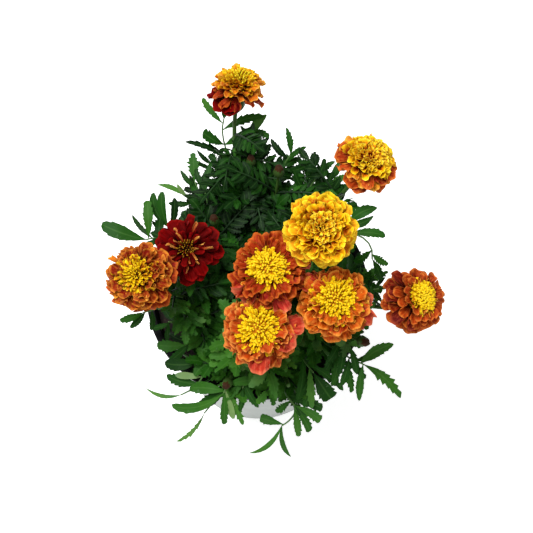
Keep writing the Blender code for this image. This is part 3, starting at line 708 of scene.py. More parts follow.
# Stem, height where the leaf starts, tip x, y, z, arch, bare share of the rib, leaflet length,
# leaflet width.
FRONDS = [
    ("b", 170, (54, 72, 190), 8, 0.20, 16, 7.0),
    ("b", 152, (34, 76, 186), 8, 0.20, 16, 7.0),
    ("d", 160, (-40, 42, 186), 8, 0.25, 15, 7.0),
    ("d", 176, (-24, -24, 194), 10, 0.25, 15, 7.5),
    ("e", 166, (-44, -46, 186), 8, 0.25, 15, 7.5),
    ("f", 176, (-18, 14, 200), 8, 0.25, 16, 7.5),
    ("f", 164, (-26, -20, 186), 8, 0.25, 16, 7.5),
    ("f", 152, (-20, -42, 178), 8, 0.25, 16, 7.5),
    ("g", 168, (-34, -58, 186), 8, 0.20, 17, 7.5),
    ("g", 152, (-30, -36, 172), 8, 0.25, 16, 7.5),
    ("i", 164, (84, -4, 190), 8, 0.30, 15, 6.5),
    ("p", 182, (-22, 58, 202), 8, 0.25, 15, 7.0),
    ("k", 184, (-34, -3, 200), 8, 0.25, 14, 7.0),
    ("k", 156, (-58, 20, 180), 8, 0.25, 16, 7.0),
    ("n", 152, (60, -8, 184), 8, 0.30, 14, 6.5),
    ("p", 166, (-26, 44, 194), 8, 0.20, 16, 7.5),
    ("p", 158, (24, 44, 188), 8, 0.20, 16, 7.5),
]

# %% The leaves of the outline
# Stem, height where the leaf starts, places of the rib, and the leaflets: share of the rib,
# tip, width, bow, belly, teeth, tone, which carries painted light and shade with the green.
OUTLINE_LEAVES = [
    ("a", 158, [(-21, 88, 174), (-23, 94, 182), (-22, 102, 192)], [
        (1.00, (-18, 110, 200), 5.4, 0.08, 1.0, 0.3, 0.62),
        (0.95, (-36, 113, 200), 4.9, 0.05, 1.2, 0.9, 0.66),
        (0.88, (4, 102, 196), 6.2, 0.06, 1.10, 0.9, 0.66),
        (0.72, (-2, 97, 191), 6.4, -0.06, 1.0, 0.3, 0.62),
        (0.72, (-36, 94, 188), 8.0, 0.06, 1.5, 0.8, 0.46),
        (0.54, (-48, 90, 182), 5.4, -0.06, 0.9, 1.2, 0.40)]),
    ("a", 180, [(-10, 92, 190), (-4, 94, 192)], [
        (1.00, (-4, 77, 183), 5.4, -0.06, 1.10, 0.9, 0.62),
        (0.90, (8, 90, 190), 5.2, 0.05, 1.15, 0.9, 0.58)]),
    ("a", 166, [(-6, 86, 178), (-5, 89, 181)], [
        (1.00, (6, 103, 196), 6.2, 0.10, 1.1, 0.4, 0.80),
        (0.95, (9, 84, 187), 3.4, 0.08, 0.9, 0.5, 0.50),
        (0.70, (8, 92, 184), 4.4, 0.05, 1.0, 0.6, 0.34)]),
    ("a", 150, [(-22, 66, 168), (-30, 76, 176)], [
        (1.00, (-40, 84, 182), 3.2, 0.06, 0.9, 0.4, 0.30),
        (0.90, (-44, 78, 182), 3.0, 0.06, 0.9, 0.4, 0.32),
        (0.80, (-24, 84, 180), 3.4, 0.06, 0.9, 0.8, 0.28)]),
    ("b", 160, [(34, 54, 186), (38, 58, 194)], [
        (1.00, (50, 66, 204), 4.6, 0.08, 1.0, 0.9, 0.55),
        (0.95, (36, 72, 202), 4.4, 0.08, 1.0, 0.9, 0.48),
        (0.80, (52, 54, 200), 4.4, -0.08, 1.1, 0.7, 0.62),
        (0.70, (24, 64, 196), 4.2, 0.08, 1.0, 0.9, 0.40)]),
    ("c", 196, [(50, 16, 206), (58, 22, 211)], [
        (1.00, (75, 29, 217), 7.2, 0.10, 0.95, 0.3, 0.56),
        (0.92, (73, 25, 213), 5.2, -0.10, 0.9, 0.3, 0.44)]),
    ("c", 186, [(62, 13, 212), (69, 8, 212), (72, -1, 206)], [
        (0.66, (80, 12, 212), 6.4, 0.06, 1.15, 0.7, 0.58),
        (0.62, (60, 4, 204), 5.4, 0.06, 1.0, 0.8, 0.48),
        (0.96, (82, -4, 204), 5.2, -0.06, 1.0, 1.2, 0.60),
        (0.92, (61, 0, 198), 5.0, 0.06, 1.0, 1.2, 0.50),
        (1.00, (78, -12, 197), 5.6, 0.06, 1.1, 1.2, 0.56)]),
    ("d", 176, [(-60, 19, 190), (-71, 17, 192)], [
        (1.00, (-99, 26, 196), 10.0, 0.04, 1.25, 0.4, 0.60),
        (0.96, (-70, 41, 199), 6.6, 0.00, 1.25, 0.8, 0.58),
        (0.90, (-80, 33, 194), 3.4, 0.06, 1.0, 0.5, 0.34),
        (0.90, (-56, 8, 190), 7.4, 0.05, 1.1, 0.6, 0.40),
        (0.80, (-62, 33, 190), 6.4, 0.05, 1.1, 0.8, 0.38),
        (0.75, (-80, 4, 188), 5.4, -0.06, 1.1, 0.6, 0.46)]),
    ("d", 166, [(-50, 18, 180), (-57, 27, 187)], [
        (1.00, (-67, 47, 197), 5.6, 0.12, 1.4, 0.1, 0.42),
        (1.00, (-61, 47, 199), 5.6, 0.08, 1.4, 0.1, 0.48),
        (0.95, (-53, 44, 196), 5.0, -0.05, 1.2, 0.5, 0.36),
        (0.85, (-46, 38, 190), 4.6, -0.05, 1.1, 0.6, 0.36),
        (0.80, (-68, 32, 186), 4.0, 0.05, 1.0, 0.4, 0.30)]),
    ("k", 166, [(-40, 46, 178), (-48, 51, 184)], [
        (1.00, (-65, 57, 187), 3.6, -0.08, 0.85, 0.3, 0.82),
        (0.90, (-52, 56, 190), 2.8, 0.05, 1.1, 0.3, 0.88),
        (0.80, (-58, 46, 182), 4.2, 0.05, 1.0, 0.7, 0.44),
        (0.70, (-40, 60, 184), 4.4, 0.05, 1.0, 0.7, 0.40)]),
    ("k", 180, [(-36, 48, 184), (-41, 60, 186)], [
        (1.00, (-42, 78, 191), 7.8, 0.00, 0.95, 1.5, 0.72),
        (0.85, (-50, 66, 190), 3.6, 0.05, 1.0, 0.6, 0.40),
        (0.80, (-30, 68, 192), 4.0, 0.05, 1.0, 0.6, 0.44)]),
    ("j", 168, [(19, 74, 186), (22, 77, 190)], [
        (1.00, (19, 92, 200), 4.6, -0.05, 0.9, 1.0, 0.64),
        (0.90, (9, 86, 195), 4.8, 0.06, 1.0, 0.7, 0.36),
        (0.80, (32, 80, 196), 4.2, 0.06, 1.0, 0.9, 0.50),
        (0.60, (34, 70, 190), 4.4, -0.05, 1.0, 0.7, 0.40),
        (0.60, (4, 74, 190), 4.4, -0.05, 1.0, 0.7, 0.34)]),
    ("i", 160, [(59, -17, 186), (77, -16, 192)], [
        (1.00, (84, -14, 194), 2.2, 0.00, 1.0, 0.0, 0.40),
        (0.95, (81, -9, 194), 2.6, 0.05, 0.9, 0.3, 0.42),
        (0.85, (74, -8, 193), 2.6, 0.05, 0.9, 0.3, 0.40),
        (0.90, (79, -25, 190), 2.8, 0.05, 0.9, 0.3, 0.36),
        (0.65, (66, -7, 190), 2.6, 0.05, 0.9, 0.3, 0.34)]),
    ("h", 162, [(56, -54, 172), (68, -61, 175)], [
        (1.00, (91, -80, 166), 7.4, 0.07, 1.0, 1.3, 0.76),
        (0.98, (65, -81, 162), 5.2, -0.03, 1.05, 0.4, 0.80),
        (0.95, (86, -49, 181), 7.8, 0.08, 0.95, 0.6, 0.74),
        (0.88, (80, -52, 177), 5.0, -0.05, 1.0, 0.3, 0.66),
        (0.80, (53, -72, 163), 5.0, 0.06, 1.0, 0.5, 0.62),
        (0.60, (48, -66, 160), 4.6, 0.06, 1.0, 0.9, 0.52)]),
    ("n", 158, [(52, -44, 176), (58, -50, 180)], [
        (1.00, (63, -66, 173), 5.4, 0.05, 1.05, 1.2, 0.66),
        (0.95, (71, -50, 186), 5.0, 0.04, 1.05, 0.5, 0.86),
        (0.85, (52, -66, 171), 5.6, 0.05, 1.05, 1.2, 0.62),
        (0.75, (44, -60, 174), 5.4, 0.05, 1.05, 1.2, 0.56),
        (0.75, (68, -40, 178), 4.6, 0.05, 1.05, 0.9, 0.52)]),
    ("n", 148, [(50, -50, 168), (56, -58, 170)], [
        (1.00, (60, -76, 163), 5.2, 0.05, 1.05, 1.2, 0.60),
        (0.95, (69, -68, 168), 5.0, 0.05, 1.05, 1.2, 0.56),
        (0.80, (48, -72, 164), 5.4, 0.05, 1.05, 1.2, 0.56),
        (0.70, (42, -64, 164), 5.0, 0.05, 1.05, 1.2, 0.50)]),
    ("k", 172, [(-32, 44, 184), (-34, 52, 188)], [
        (1.00, (-40, 67, 190), 4.6, 0.05, 1.05, 1.2, 0.50),
        (0.95, (-30, 70, 192), 4.4, 0.05, 1.05, 1.2, 0.44),
        (0.85, (-44, 58, 186), 4.4, 0.05, 1.05, 1.2, 0.42),
        (0.70, (-24, 62, 190), 4.4, 0.05, 1.05, 1.2, 0.48),
        (0.60, (-42, 50, 184), 4.4, 0.05, 1.05, 1.2, 0.40)]),
    ("h", 152, [(33, -60, 166), (36, -64, 167)], [
        (1.00, (47, -80, 163), 12.0, 0.00, 1.7, 0.6, 0.50),
        (0.90, (35, -85, 158), 5.4, 0.00, 1.1, 1.0, 0.84),
        (0.80, (55, -74, 161), 5.2, 0.06, 1.1, 1.2, 0.54),
        (0.95, (31, -84, 156), 7.0, 0.00, 1.3, 0.9, 0.60),
        (0.70, (26, -80, 160), 6.4, 0.06, 1.2, 1.0, 0.58)]),
    ("o", 154, [(25, -85, 153), (16, -93, 142)], [
        (1.00, (-5, -108, 127), 3.4, 0.13, 0.95, 0.2, 0.72),
        (1.00, (22, -110, 125), 3.6, -0.12, 0.95, 0.2, 0.70),
        (0.96, (2, -88, 143), 6.4, 0.00, 1.6, 0.6, 0.60)]),
    ("o", 150, [(20, -78, 158), (24, -83, 157)], [
        (1.00, (27, -100, 142), 5.2, 0.00, 1.2, 0.9, 0.80),
        (1.00, (41, -91, 149), 6.6, 0.05, 1.5, 0.9, 0.72),
        (0.95, (34, -97, 143), 5.6, 0.05, 1.4, 0.8, 0.66),
        (0.85, (12, -86, 152), 5.4, 0.05, 1.1, 1.3, 0.74),
        (0.90, (31, -90, 149), 6.0, 0.03, 1.3, 0.9, 0.62),
        (0.85, (42, -84, 153), 6.6, 0.05, 1.4, 0.9, 0.56),
        (0.70, (34, -80, 158), 5.8, 0.05, 1.1, 1.0, 0.60)]),
    ("g", 158, [(-8, -70, 167), (-9, -74, 166)], [
        (1.00, (-11, -87, 158), 4.2, 0.05, 1.0, 0.8, 0.48),
        (0.90, (1, -85, 160), 4.6, -0.05, 1.0, 0.8, 0.42),
        (0.80, (-22, -82, 162), 4.6, 0.05, 1.0, 0.8, 0.60)]),
    ("m", 150, [(-19, -72, 166), (-21, -77, 166)], [
        (1.00, (-54, -84, 160), 7.0, 0.13, 1.35, 0.4, 0.68),
        (0.96, (-43, -73, 162), 8.0, -0.06, 1.1, 0.4, 0.62),
        (0.90, (-37, -82, 155), 8.0, 0.05, 1.1, 0.7, 0.52),
        (0.96, (-21, -94, 151), 5.4, 0.00, 1.15, 0.9, 0.72),
        (0.92, (-15, -91, 154), 4.8, 0.00, 1.3, 0.1, 0.97),
        (0.88, (-9, -94, 150), 4.6, 0.03, 1.15, 1.2, 0.84),
        (0.80, (5, -71, 173), 6.2, 0.06, 1.05, 0.4, 0.76)]),
    ("m", 146, [(-24, -74, 154), (-34, -86, 148)], [
        (1.00, (-52, -102, 136), 3.2, 0.10, 1.15, 1.4, 0.88)]),
    ("m", 142, [(-36, -68, 152), (-49, -76, 156)], [
        (1.00, (-72, -70, 151), 2.8, 0.12, 0.9, 0.2, 1.0)]),
    ("l", 148, [(-46, -52, 164), (-36, -61, 168), (-43, -74, 158)], [
        (0.62, (-59, -57, 164), 8.6, 0.06, 1.1, 0.4, 0.30),
        (0.92, (-58, -64, 160), 7.4, 0.06, 1.0, 0.8, 0.62),
        (0.84, (-52, -65, 165), 4.8, 0.00, 1.25, 0.1, 0.97),
        (0.70, (-24, -64, 164), 6.0, 0.06, 1.0, 0.6, 0.45)]),
    ("l", 140, [(-52, -27, 152), (-58, -27, 156)], [
        (1.00, (-60, -40, 145), 3.6, 0.00, 0.9, 0.5, 0.46),
        (0.90, (-70, -29, 148), 4.0, 0.05, 1.1, 0.7, 0.42),
        (0.80, (-62, -15, 150), 4.4, 0.05, 1.0, 0.7, 0.36)]),
    ("e", 150, [(-40, -40, 164), (-46, -46, 167)], [
        (1.00, (-64, -46, 168), 8.0, 0.03, 1.2, 0.8, 0.72),
        (0.90, (-58, -57, 164), 5.4, 0.05, 1.0, 0.8, 0.46),
        (0.90, (-57, -36, 160), 5.0, 0.05, 1.0, 0.8, 0.40)]),
    ("e", 184, [(-64, -29, 191), (-71, -32, 193)], [
        (1.00, (-85, -38, 196), 5.0, 0.05, 1.2, 0.7, 0.66),
        (0.95, (-79, -41, 190), 4.4, 0.05, 1.1, 0.7, 0.50),
        (0.80, (-66, -42, 188), 4.2, 0.05, 1.1, 0.7, 0.40)]),
]
print("drawn leaves:", len(OUTLINE_LEAVES), "their leaflets:", sum(len(leaf[3]) for leaf in OUTLINE_LEAVES))


# %% Where a head and a stem run
def lean_axis(lean, toward):
    """A unit vector that leans from upright by lean degrees, towards the given side."""
    lean, toward = np.radians(lean), np.radians(toward)
    return np.array([np.sin(lean) * np.cos(toward), np.sin(lean) * np.sin(toward), np.cos(lean)])


def head_of(stem):
    """Centre, axis, and how far below the centre the bare stem ends."""
    if stem in HEADS:
        x, y, z, lean, toward = HEADS[stem][:5]
        drop = CUP_LENGTH
    elif stem in BUDS:
        x, y, z, lean, toward, radius = BUDS[stem]
        drop = 2.0 * radius
    else:
        x, y, z, lean, toward = BARE_TIPS[stem]
        drop = 0.0
    return np.array([x, y, z], float), lean_axis(lean, toward), drop


def stem_path(stem, t):
    """A cubic curve from the soil, upright at its foot, in line with the head at its top."""
    foot = np.array([*FEET[stem], SOIL_CROWN], float)
    centre, axis, drop = head_of(stem)
    top = centre - axis * drop
    rise = top[2] - foot[2]
    low = foot + np.array([0, 0, 0.45 * rise])
    high = top - axis * 0.35 * rise
    t = np.asarray(t, float)[:, None]
    s = 1 - t
    return foot * s ** 3 + low * 3 * s * s * t + high * 3 * s * t * t + top * t ** 3


def stem_at(stem, height):
    """The point of the stem at a height, read off a finely sampled curve."""
    path = stem_path(stem, np.linspace(0, 1, 400))
    return along_path(height, path[:, 2], path)


def carried(points, stem):
    """Points of a head's own frame, where its axis is +Z, turned by the shortest way to its
    axis and moved to its centre: p + v x p * s + v x (v x p) * (1 - c) for the turning axis v."""
    centre, axis, _ = head_of(stem)
    upright = np.array([0, 0, 1.0])
    spin = np.cross(upright, axis)
    size = np.linalg.norm(spin)
    spin = spin / max(size, 1e-9)
    crossed = np.cross(spin, points)
    return centre + points + crossed * size + np.cross(spin, crossed) * (1 - axis[2])


# %% [markdown]
# ## Which way each leaf really went
#
# In the CAD model a leaf that would have crossed another was swung, lifted or shortened a
# little until it was clear. The same few variants are tried here, and the right one is the one
# whose tip lies on the CAD node: a vertex half a blade's thickness away.

# %% Finding the leaf in the frame
SHRINKS = np.array([1.0, 0.9, 0.8])
LIFTS = np.array([0, 4, -4, 8, -8, 12, -12], float)
SWINGS = np.radians([0, 6, -6, 12, -12, 18, -18])


def found_tip(stem, root, tip):
    """The variant tip nearest to a vertex of the stem's CAD node, its shrink and that gap."""
    reach = np.asarray(tip, float) - root
    shrink, lift, swing = (g.ravel() for g in np.meshgrid(SHRINKS, LIFTS, SWINGS, indexing="ij"))
    x = reach[0] * np.cos(swing) - reach[1] * np.sin(swing)
    y = reach[0] * np.sin(swing) + reach[1] * np.cos(swing)
    ends = root + np.stack([x, y, reach[2] + lift], 1) * shrink[:, None]
    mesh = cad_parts["stem_" + stem].data
    corners = np.empty(len(mesh.vertices) * 3)
    mesh.vertices.foreach_get("co", corners)
    corners = np.unique(corners.reshape(-1, 3).round(5), axis=0) / MM
    gaps = np.linalg.norm(ends[:, None] - corners[None], axis=2).min(1)
    best = int(np.argmin(gaps))
    return ends[best], float(shrink[best]), float(gaps[best])


cad_leaves = {stem: [] for stem in FEET}
widest = 0.0
for stem, start, tip, arch, bare, length, width in FRONDS:
    root = stem_at(stem, start)
    end, shrink, gap = found_tip(stem, root, tip)
    widest = max(widest, gap)
    cad_leaves[stem].append((root, end, arch, bare, length * shrink, width * shrink))
print("leaves found:", sum(len(v) for v in cad_leaves.values()), "widest gap mm:", round(widest, 2))

# %% [markdown]
# ## Leaf and stem finish
#
# The upper side is a deep green whose tone varies from leaflet to leaflet and carries painted
# light and shade: darker deep in the bush, paler high up, at the front and to the right. It is
# lighter along the midrib, with slanting side veins and patches of painted bluish reflection;
# the underside is pale and matt. The mark across tells the sides apart: it runs from 0 to 1 on
# top and on to 2 at the keel.


# %% Green paints
BLACK = (0, 0, 0, 1)
WHITE = (1, 1, 1, 1)


def leaf_paint():
    """The tone mark picks the green, and with it painted light and shade. Over it come darker
    patches, patches of painted bluish reflection, a vein each eighth of the length, the rib at
    across 0.5, and a paler underside past across 1."""
    paint = Paint("leaf_green", 0.55, Specular_IOR_Level=0.12)
    across, along, tone_and_shade = paint.marks()[:3]
    base = paint.ramp(tone_and_shade, (0.0, colour(4, 15, 4)), (0.3, colour(15, 45, 10)), (0.6, colour(38, 86, 20)),
                      (0.85, colour(72, 124, 42)), (1.0, colour(122, 152, 92)))
    middle = paint.math("ABSOLUTE", paint.minus(across, 0.5))
    rib = paint.minus(1.0, paint.times(middle, 12.0), clamp=True)
    slant = paint.minus(paint.times(along, 8.0), paint.times(middle, 2.6))
    vein = paint.math("ABSOLUTE", paint.minus(paint.math("FRACT", slant), 0.5))
    vein = paint.minus(1.0, paint.times(vein, 7.0), clamp=True)
    patch = paint.noise(paint.place(), 260.0, 3.0)
    # Painted reflection: bluish patches that stand for the sheen of the bright room on the leaves.
    bluish_reflection = paint.ramp(paint.noise(paint.place(), 45.0, 1.0), (0.48, BLACK), (0.62, WHITE))
    under = paint.times(paint.minus(across, 1.0), 1.6, clamp=True)
    base = paint.tint(base, colour(15, 44, 12), patch, 0.35)
    base = paint.tint(base, (0.78, 0.90, 1.45, 1), bluish_reflection, 0.55, "MULTIPLY")
    base = paint.tint(base, colour(96, 140, 70), vein, 0.025)
    base = paint.tint(base, colour(96, 140, 70), rib, 0.20)
    base = paint.tint(base, colour(84, 116, 76), under, 0.45)
    height = paint.minus(paint.times(patch, 0.5), paint.times(vein, 0.25))
    return paint.finish(base, height, 0.0003, 0.5)


def stem_paint():
    """Brownish at the foot and fresh green at the top, with fine brown streaks."""
    paint = Paint("stem_green", 0.55, Specular_IOR_Level=0.25)
    streak = paint.noise(paint.place(), 320.0, 3.0)
    base = paint.ramp(paint.marks()[1], (0.0, colour(48, 58, 30)), (0.35, colour(38, 66, 24)),
                      (1.0, colour(66, 104, 44)))
    return paint.finish(paint.tint(base, colour(70, 52, 36), streak, 0.3), streak, 0.0002, 0.3)


def rib_paint():
    """A rib lightens towards its tip. The seed mixes between painted shade, for ribs inside the
    bush, and painted light, for ribs of the outline leaves.
    """
    paint = Paint("rib_green", 0.5, Specular_IOR_Level=0.25)
    along, seed = paint.marks()[1:3]
    streak = paint.noise(paint.place(), 320.0, 3.0)
    painted_shade_rib = paint.ramp(along, (0.0, colour(10, 26, 12)), (1.0, colour(26, 56, 24)))
    painted_light_rib = paint.ramp(along, (0.0, colour(30, 58, 26)), (0.6, colour(58, 96, 44)),
                          (1.0, colour(96, 132, 70)))
    base = paint.mix(seed, painted_shade_rib, painted_light_rib)
    return paint.finish(paint.tint(base, colour(30, 54, 28), streak, 0.4), streak, 0.0002, 0.3)


LEAF = leaf_paint()
STEM = stem_paint()
RIB = rib_paint()
print("greens:", LEAF.name, STEM.name, RIB.name)

# %% [markdown]
# ## Filling the bush
#
# The CAD model carries the leaves that make the outline. A real plant has many more between
# them: a pair at every joint of the stem, each pair turned a right angle from the last. They
# are placed by that rule and kept where they end inside the bush's outline and below the
# blooms, so they never hide a flower.

# %% The outline of the bush and the space of the blooms
REACH_TURN = np.arange(0, 361, 30)
REACH = np.array([76, 74, 82, 96, 82, 78, 66, 62, 82, 92, 88, 78, 76], float)


def inside_bush(points):
    """Whether each point lies within the reach of the bush for the side it is on."""
    turn = np.degrees(np.arctan2(points[:, 1], points[:, 0])) % 360
    limit = np.interp(turn, REACH_TURN, REACH)
    return np.hypot(points[:, 0], points[:, 1]) < limit


def clear_of_blooms(points, room=3.0):
    """Whether all the points stay out of every bloom and the space above it."""
    for x, y, z, lean, toward, size in HEADS.values():
        offset = points - np.array([x, y, z])
        axis = lean_axis(lean, toward)
        along = offset @ axis
        off_axis = np.linalg.norm(offset - along[:, None] * axis, axis=1)
        if np.any((off_axis < size / 2 + room) & (along > -12)):
            return False
    return True


print("bush reaches", REACH.min(), "to", REACH.max(), "mm from the middle")


# %% The leaves between those of the outline
# How far apart the joints are on the stems with the most leaves, and on all others.
JOINT_SPACING = {"a": 4.8, "j": 5.0, "k": 4.2, "p": 4.4, "b": 5.4, "l": 4.8, "m": 4.2, "o": 4.2, "g": 5.2}
WIDE_SPACING = 6.2
LOWEST_JOINT = 138.0
HIGHEST_JOINT = 204.0
# A leaf that would end outside the bush or in a bloom is tried again at these shares.
TRIMS = (1.0, 0.8, 0.62)
PALEST_FILLING = 0.80


def filling_tone_and_shade(tip, draw):
    """Which green a leaf has, with painted light and shade: darker the lower it ends, as painted
    shade deep in the bush, and paler towards the front and the right, as painted light, with a
    random share on top.
    """
    # Painted shade low in the bush, painted light towards the front and the right.
    tone_and_shade = np.interp(tip[2], [150, 200], [0.0, 0.25]) + 0.44 * draw.uniform() ** 2
    tone_and_shade += np.interp(tip[1], [-80, -20, 10], [0.66, 0.22, 0.0])
    return min(tone_and_shade + np.interp(tip[0], [20, 70], [0.0, 0.24]), PALEST_FILLING)


def filling_leaves(stem, draw):
    """Pairs of leaves up one stem, each pair a right angle from the last."""
    leaves = []
    centre, axis, drop = head_of(stem)
    top = (centre - axis * drop)[2]
    heights = np.arange(LOWEST_JOINT, min(top - 8, HIGHEST_JOINT), JOINT_SPACING.get(stem, WIDE_SPACING))
    start = draw.uniform(0, np.pi)
    for number, height in enumerate(heights):
        root = stem_at(stem, height)
        for half_turn in (0.0, np.pi):
            turn = start + number * np.pi / 2 + half_turn + draw.uniform(-0.4, 0.4)
            length = draw.uniform(34, 56) * np.interp(
                height, [LOWEST_JOINT, 170, HIGHEST_JOINT], [0.85, 1.0, 0.7])
            climb = np.radians(draw.uniform(10, 52))
            for trim in TRIMS:
                span = length * trim
                tip = root + span * np.array([
                    np.cos(climb) * np.cos(turn), np.cos(climb) * np.sin(turn), 0.75 * np.sin(climb)])
                line = np.linspace(root, tip, 7)[2:]
                if inside_bush(tip[None])[0] and clear_of_blooms(line):
                    tone_and_shade = filling_tone_and_shade(tip, draw)
                    fine = np.interp(tip[1], [-60, 30], [0.35, 1.1]) * draw.uniform(0.7, 1.1)
                    pairs = int(round(3 + 2.8 * fine))
                    leaves.append((root, tip, span * draw.uniform(0.10, 0.26), 0.20, pairs,
                                   span * draw.uniform(0.38, 0.46) * (1 - 0.38 * fine),
                                   draw.uniform(5.8, 8.8) * (1 - 0.44 * fine), tone_and_shade))
                    break
    return leaves


# %% Cups and bare stems
# Radius and height of each ring of a cup, as shares of the widest radius and of the height.
HEAD_CUP = [(0.36, 0.0), (0.52, 0.10), (0.86, 0.30), (1.0, 0.50), (0.98, 0.72), (0.94, 0.88), (0.98, 1.0)]
BUD_CUP = [(0.34, 0.0), (0.55, 0.10), (0.88, 0.28), (1.02, 0.48), (1.0, 0.70), (0.90, 0.88), (0.80, 1.0)]
CUP_SIDES = 40
STEM_STEPS = 22


def cup_layer(stem, paint):
    """The green cup below a head: a turned profile with eight ribs that end in points."""
    if stem in HEADS:
        scale, bottom, top = CUP_RADIUS, -CUP_LENGTH - 0.5, CORE_FOOT + 0.6
        profile = np.array(HEAD_CUP)
    else:
        radius = BUDS[stem][5]
        scale, bottom, top = BUD_SHARE * radius, -1.3 * radius, 0.15 * radius
        profile = np.array(BUD_CUP)
    wide = scale * profile[:, 0]
    high = bottom + (top - bottom) * profile[:, 1]
    angle = circle(CUP_SIDES)
    ridge = np.abs(np.cos(4 * angle))
    rise = np.linspace(0, 1, len(wide))[:, None]
    radius = wide[:, None] * (1 + 0.07 * (ridge - 0.5)[None, :] * np.sin(np.pi * rise * 0.9))
    outer = rings_of(radius, angle, high[:, None] + 1.6 * (ridge - 0.4) * (rise > 0.95))
    inner = outer[::-1][:3] * np.array([0.86, 0.86, 1.0]) - np.array([0, 0, 0.4])
    points = carried(np.concatenate([outer, inner]).reshape(-1, 3), stem)
    rings = len(wide) + len(inner)
    marks = grid_marks(angle / (2 * np.pi), np.linspace(0.2, 1, rings)[:, None], 0.5)
    return Layer(points, tube_faces(rings, CUP_SIDES), paint, marks)


def stem_layer(stem):
    """The bare stem from the floor of its hole into its cup."""
    path = stem_path(stem, np.linspace(0, 1, STEM_STEPS))
    foot = np.array([[*FEET[stem], HOLE_FLOOR]])
    _, axis, drop = head_of(stem)
    reach = drop - 1.1 * BUDS[stem][5] if stem in BUDS else 2.0 if drop else 0.3
    path = np.concatenate([foot, path, path[-1:] + axis * reach])
    low, high = (1.5, 0.95) if stem in BUDS else (1.9, 1.35)
    radii = np.concatenate([[low], np.linspace(low, high, STEM_STEPS), [high if drop else 0.5]])
    return tube_layer(STEM, path, radii, sides=12, ribs=0.05)


print("points of a head's cup:", len(cup_layer("f", STEM).points))


# %% Stems with their leaves
def gather(plans):
    """The leaflets of several leaves as one plan."""
    keys = [key for key in plans[0] if key not in ("rib", "radii")]
    return {key: np.concatenate([plan[key] for plan in plans]) for key in keys}


def frond_plan(leaf, draw):
    """A leaf of the CAD model: its tone, with a random share, is paler towards the front and the
    right as painted light, and its leaflets are more and narrower towards the back."""
    root, tip, arch, bare, length, width = leaf
    # Painted light: paler towards the front and the right.
    tone_and_shade = np.interp(tip[1], [-110, -60, 60], [0.84, 0.72, 0.42]) + draw.uniform(-0.12, 0.16)
    tone_and_shade += np.interp(tip[0], [30, 70], [0.0, 0.12])
    finer = np.interp(tip[1], [-40, 10], [0.0, 1.0])
    return pinnate(root, tip, arch, bare, FROND_PAIRS + int(round(1.6 * finer)),
                   (1 - 0.20 * finer) * length, (0.95 - 0.22 * finer) * width, tone_and_shade, draw)


total_leaflets = 0
for number, stem in enumerate(FEET):
    draw = np.random.default_rng(100 + number)
    layers = [stem_layer(stem)]
    if stem not in BARE_TIPS:
        layers.append(cup_layer(stem, STEM))
    plans = [frond_plan(leaf, draw) for leaf in cad_leaves[stem]]
    plans += [pinnate(*leaf, draw) for leaf in filling_leaves(stem, draw)]
    drawn = [drawn_leaf(stem_at(stem, start), rib, leaflets, draw)
             for owner, start, rib, leaflets in OUTLINE_LEAVES if owner == stem]
    # The last number is the rib seed: painted shade for the CAD and filling leaves, painted light for the
    # drawn outline leaves.
    for kind, teeth, seed in ((plans, 5, 0.1), (drawn, 6, 1.0)):
        if kind:
            gathered = gather(kind)
            total_leaflets += len(gathered["at"])
            layers.append(leaflet_layer(LEAF, gathered, draw, teeth))
            layers += [tube_layer(RIB, plan["rib"], plan["radii"], sides=5, seed=seed) for plan in kind]
    make_piece("leafy_stem_" + stem, layers, ["stem_" + stem], sharp=75)
print("leaflets:", total_leaflets)

# %% [markdown]
# ## Petal finish
#
# A petal is darkest at its heart, partly its own colour and partly painted shade of the
# crevices between petals, and lightest at its rim, a painted highlight, with patches of painted
# highlight, fine streaks that run along it and a number of its own that shifts its tone. The
# surface is velvety, so it is rough with a little sheen. One function makes every petal paint;
# only its colours change.


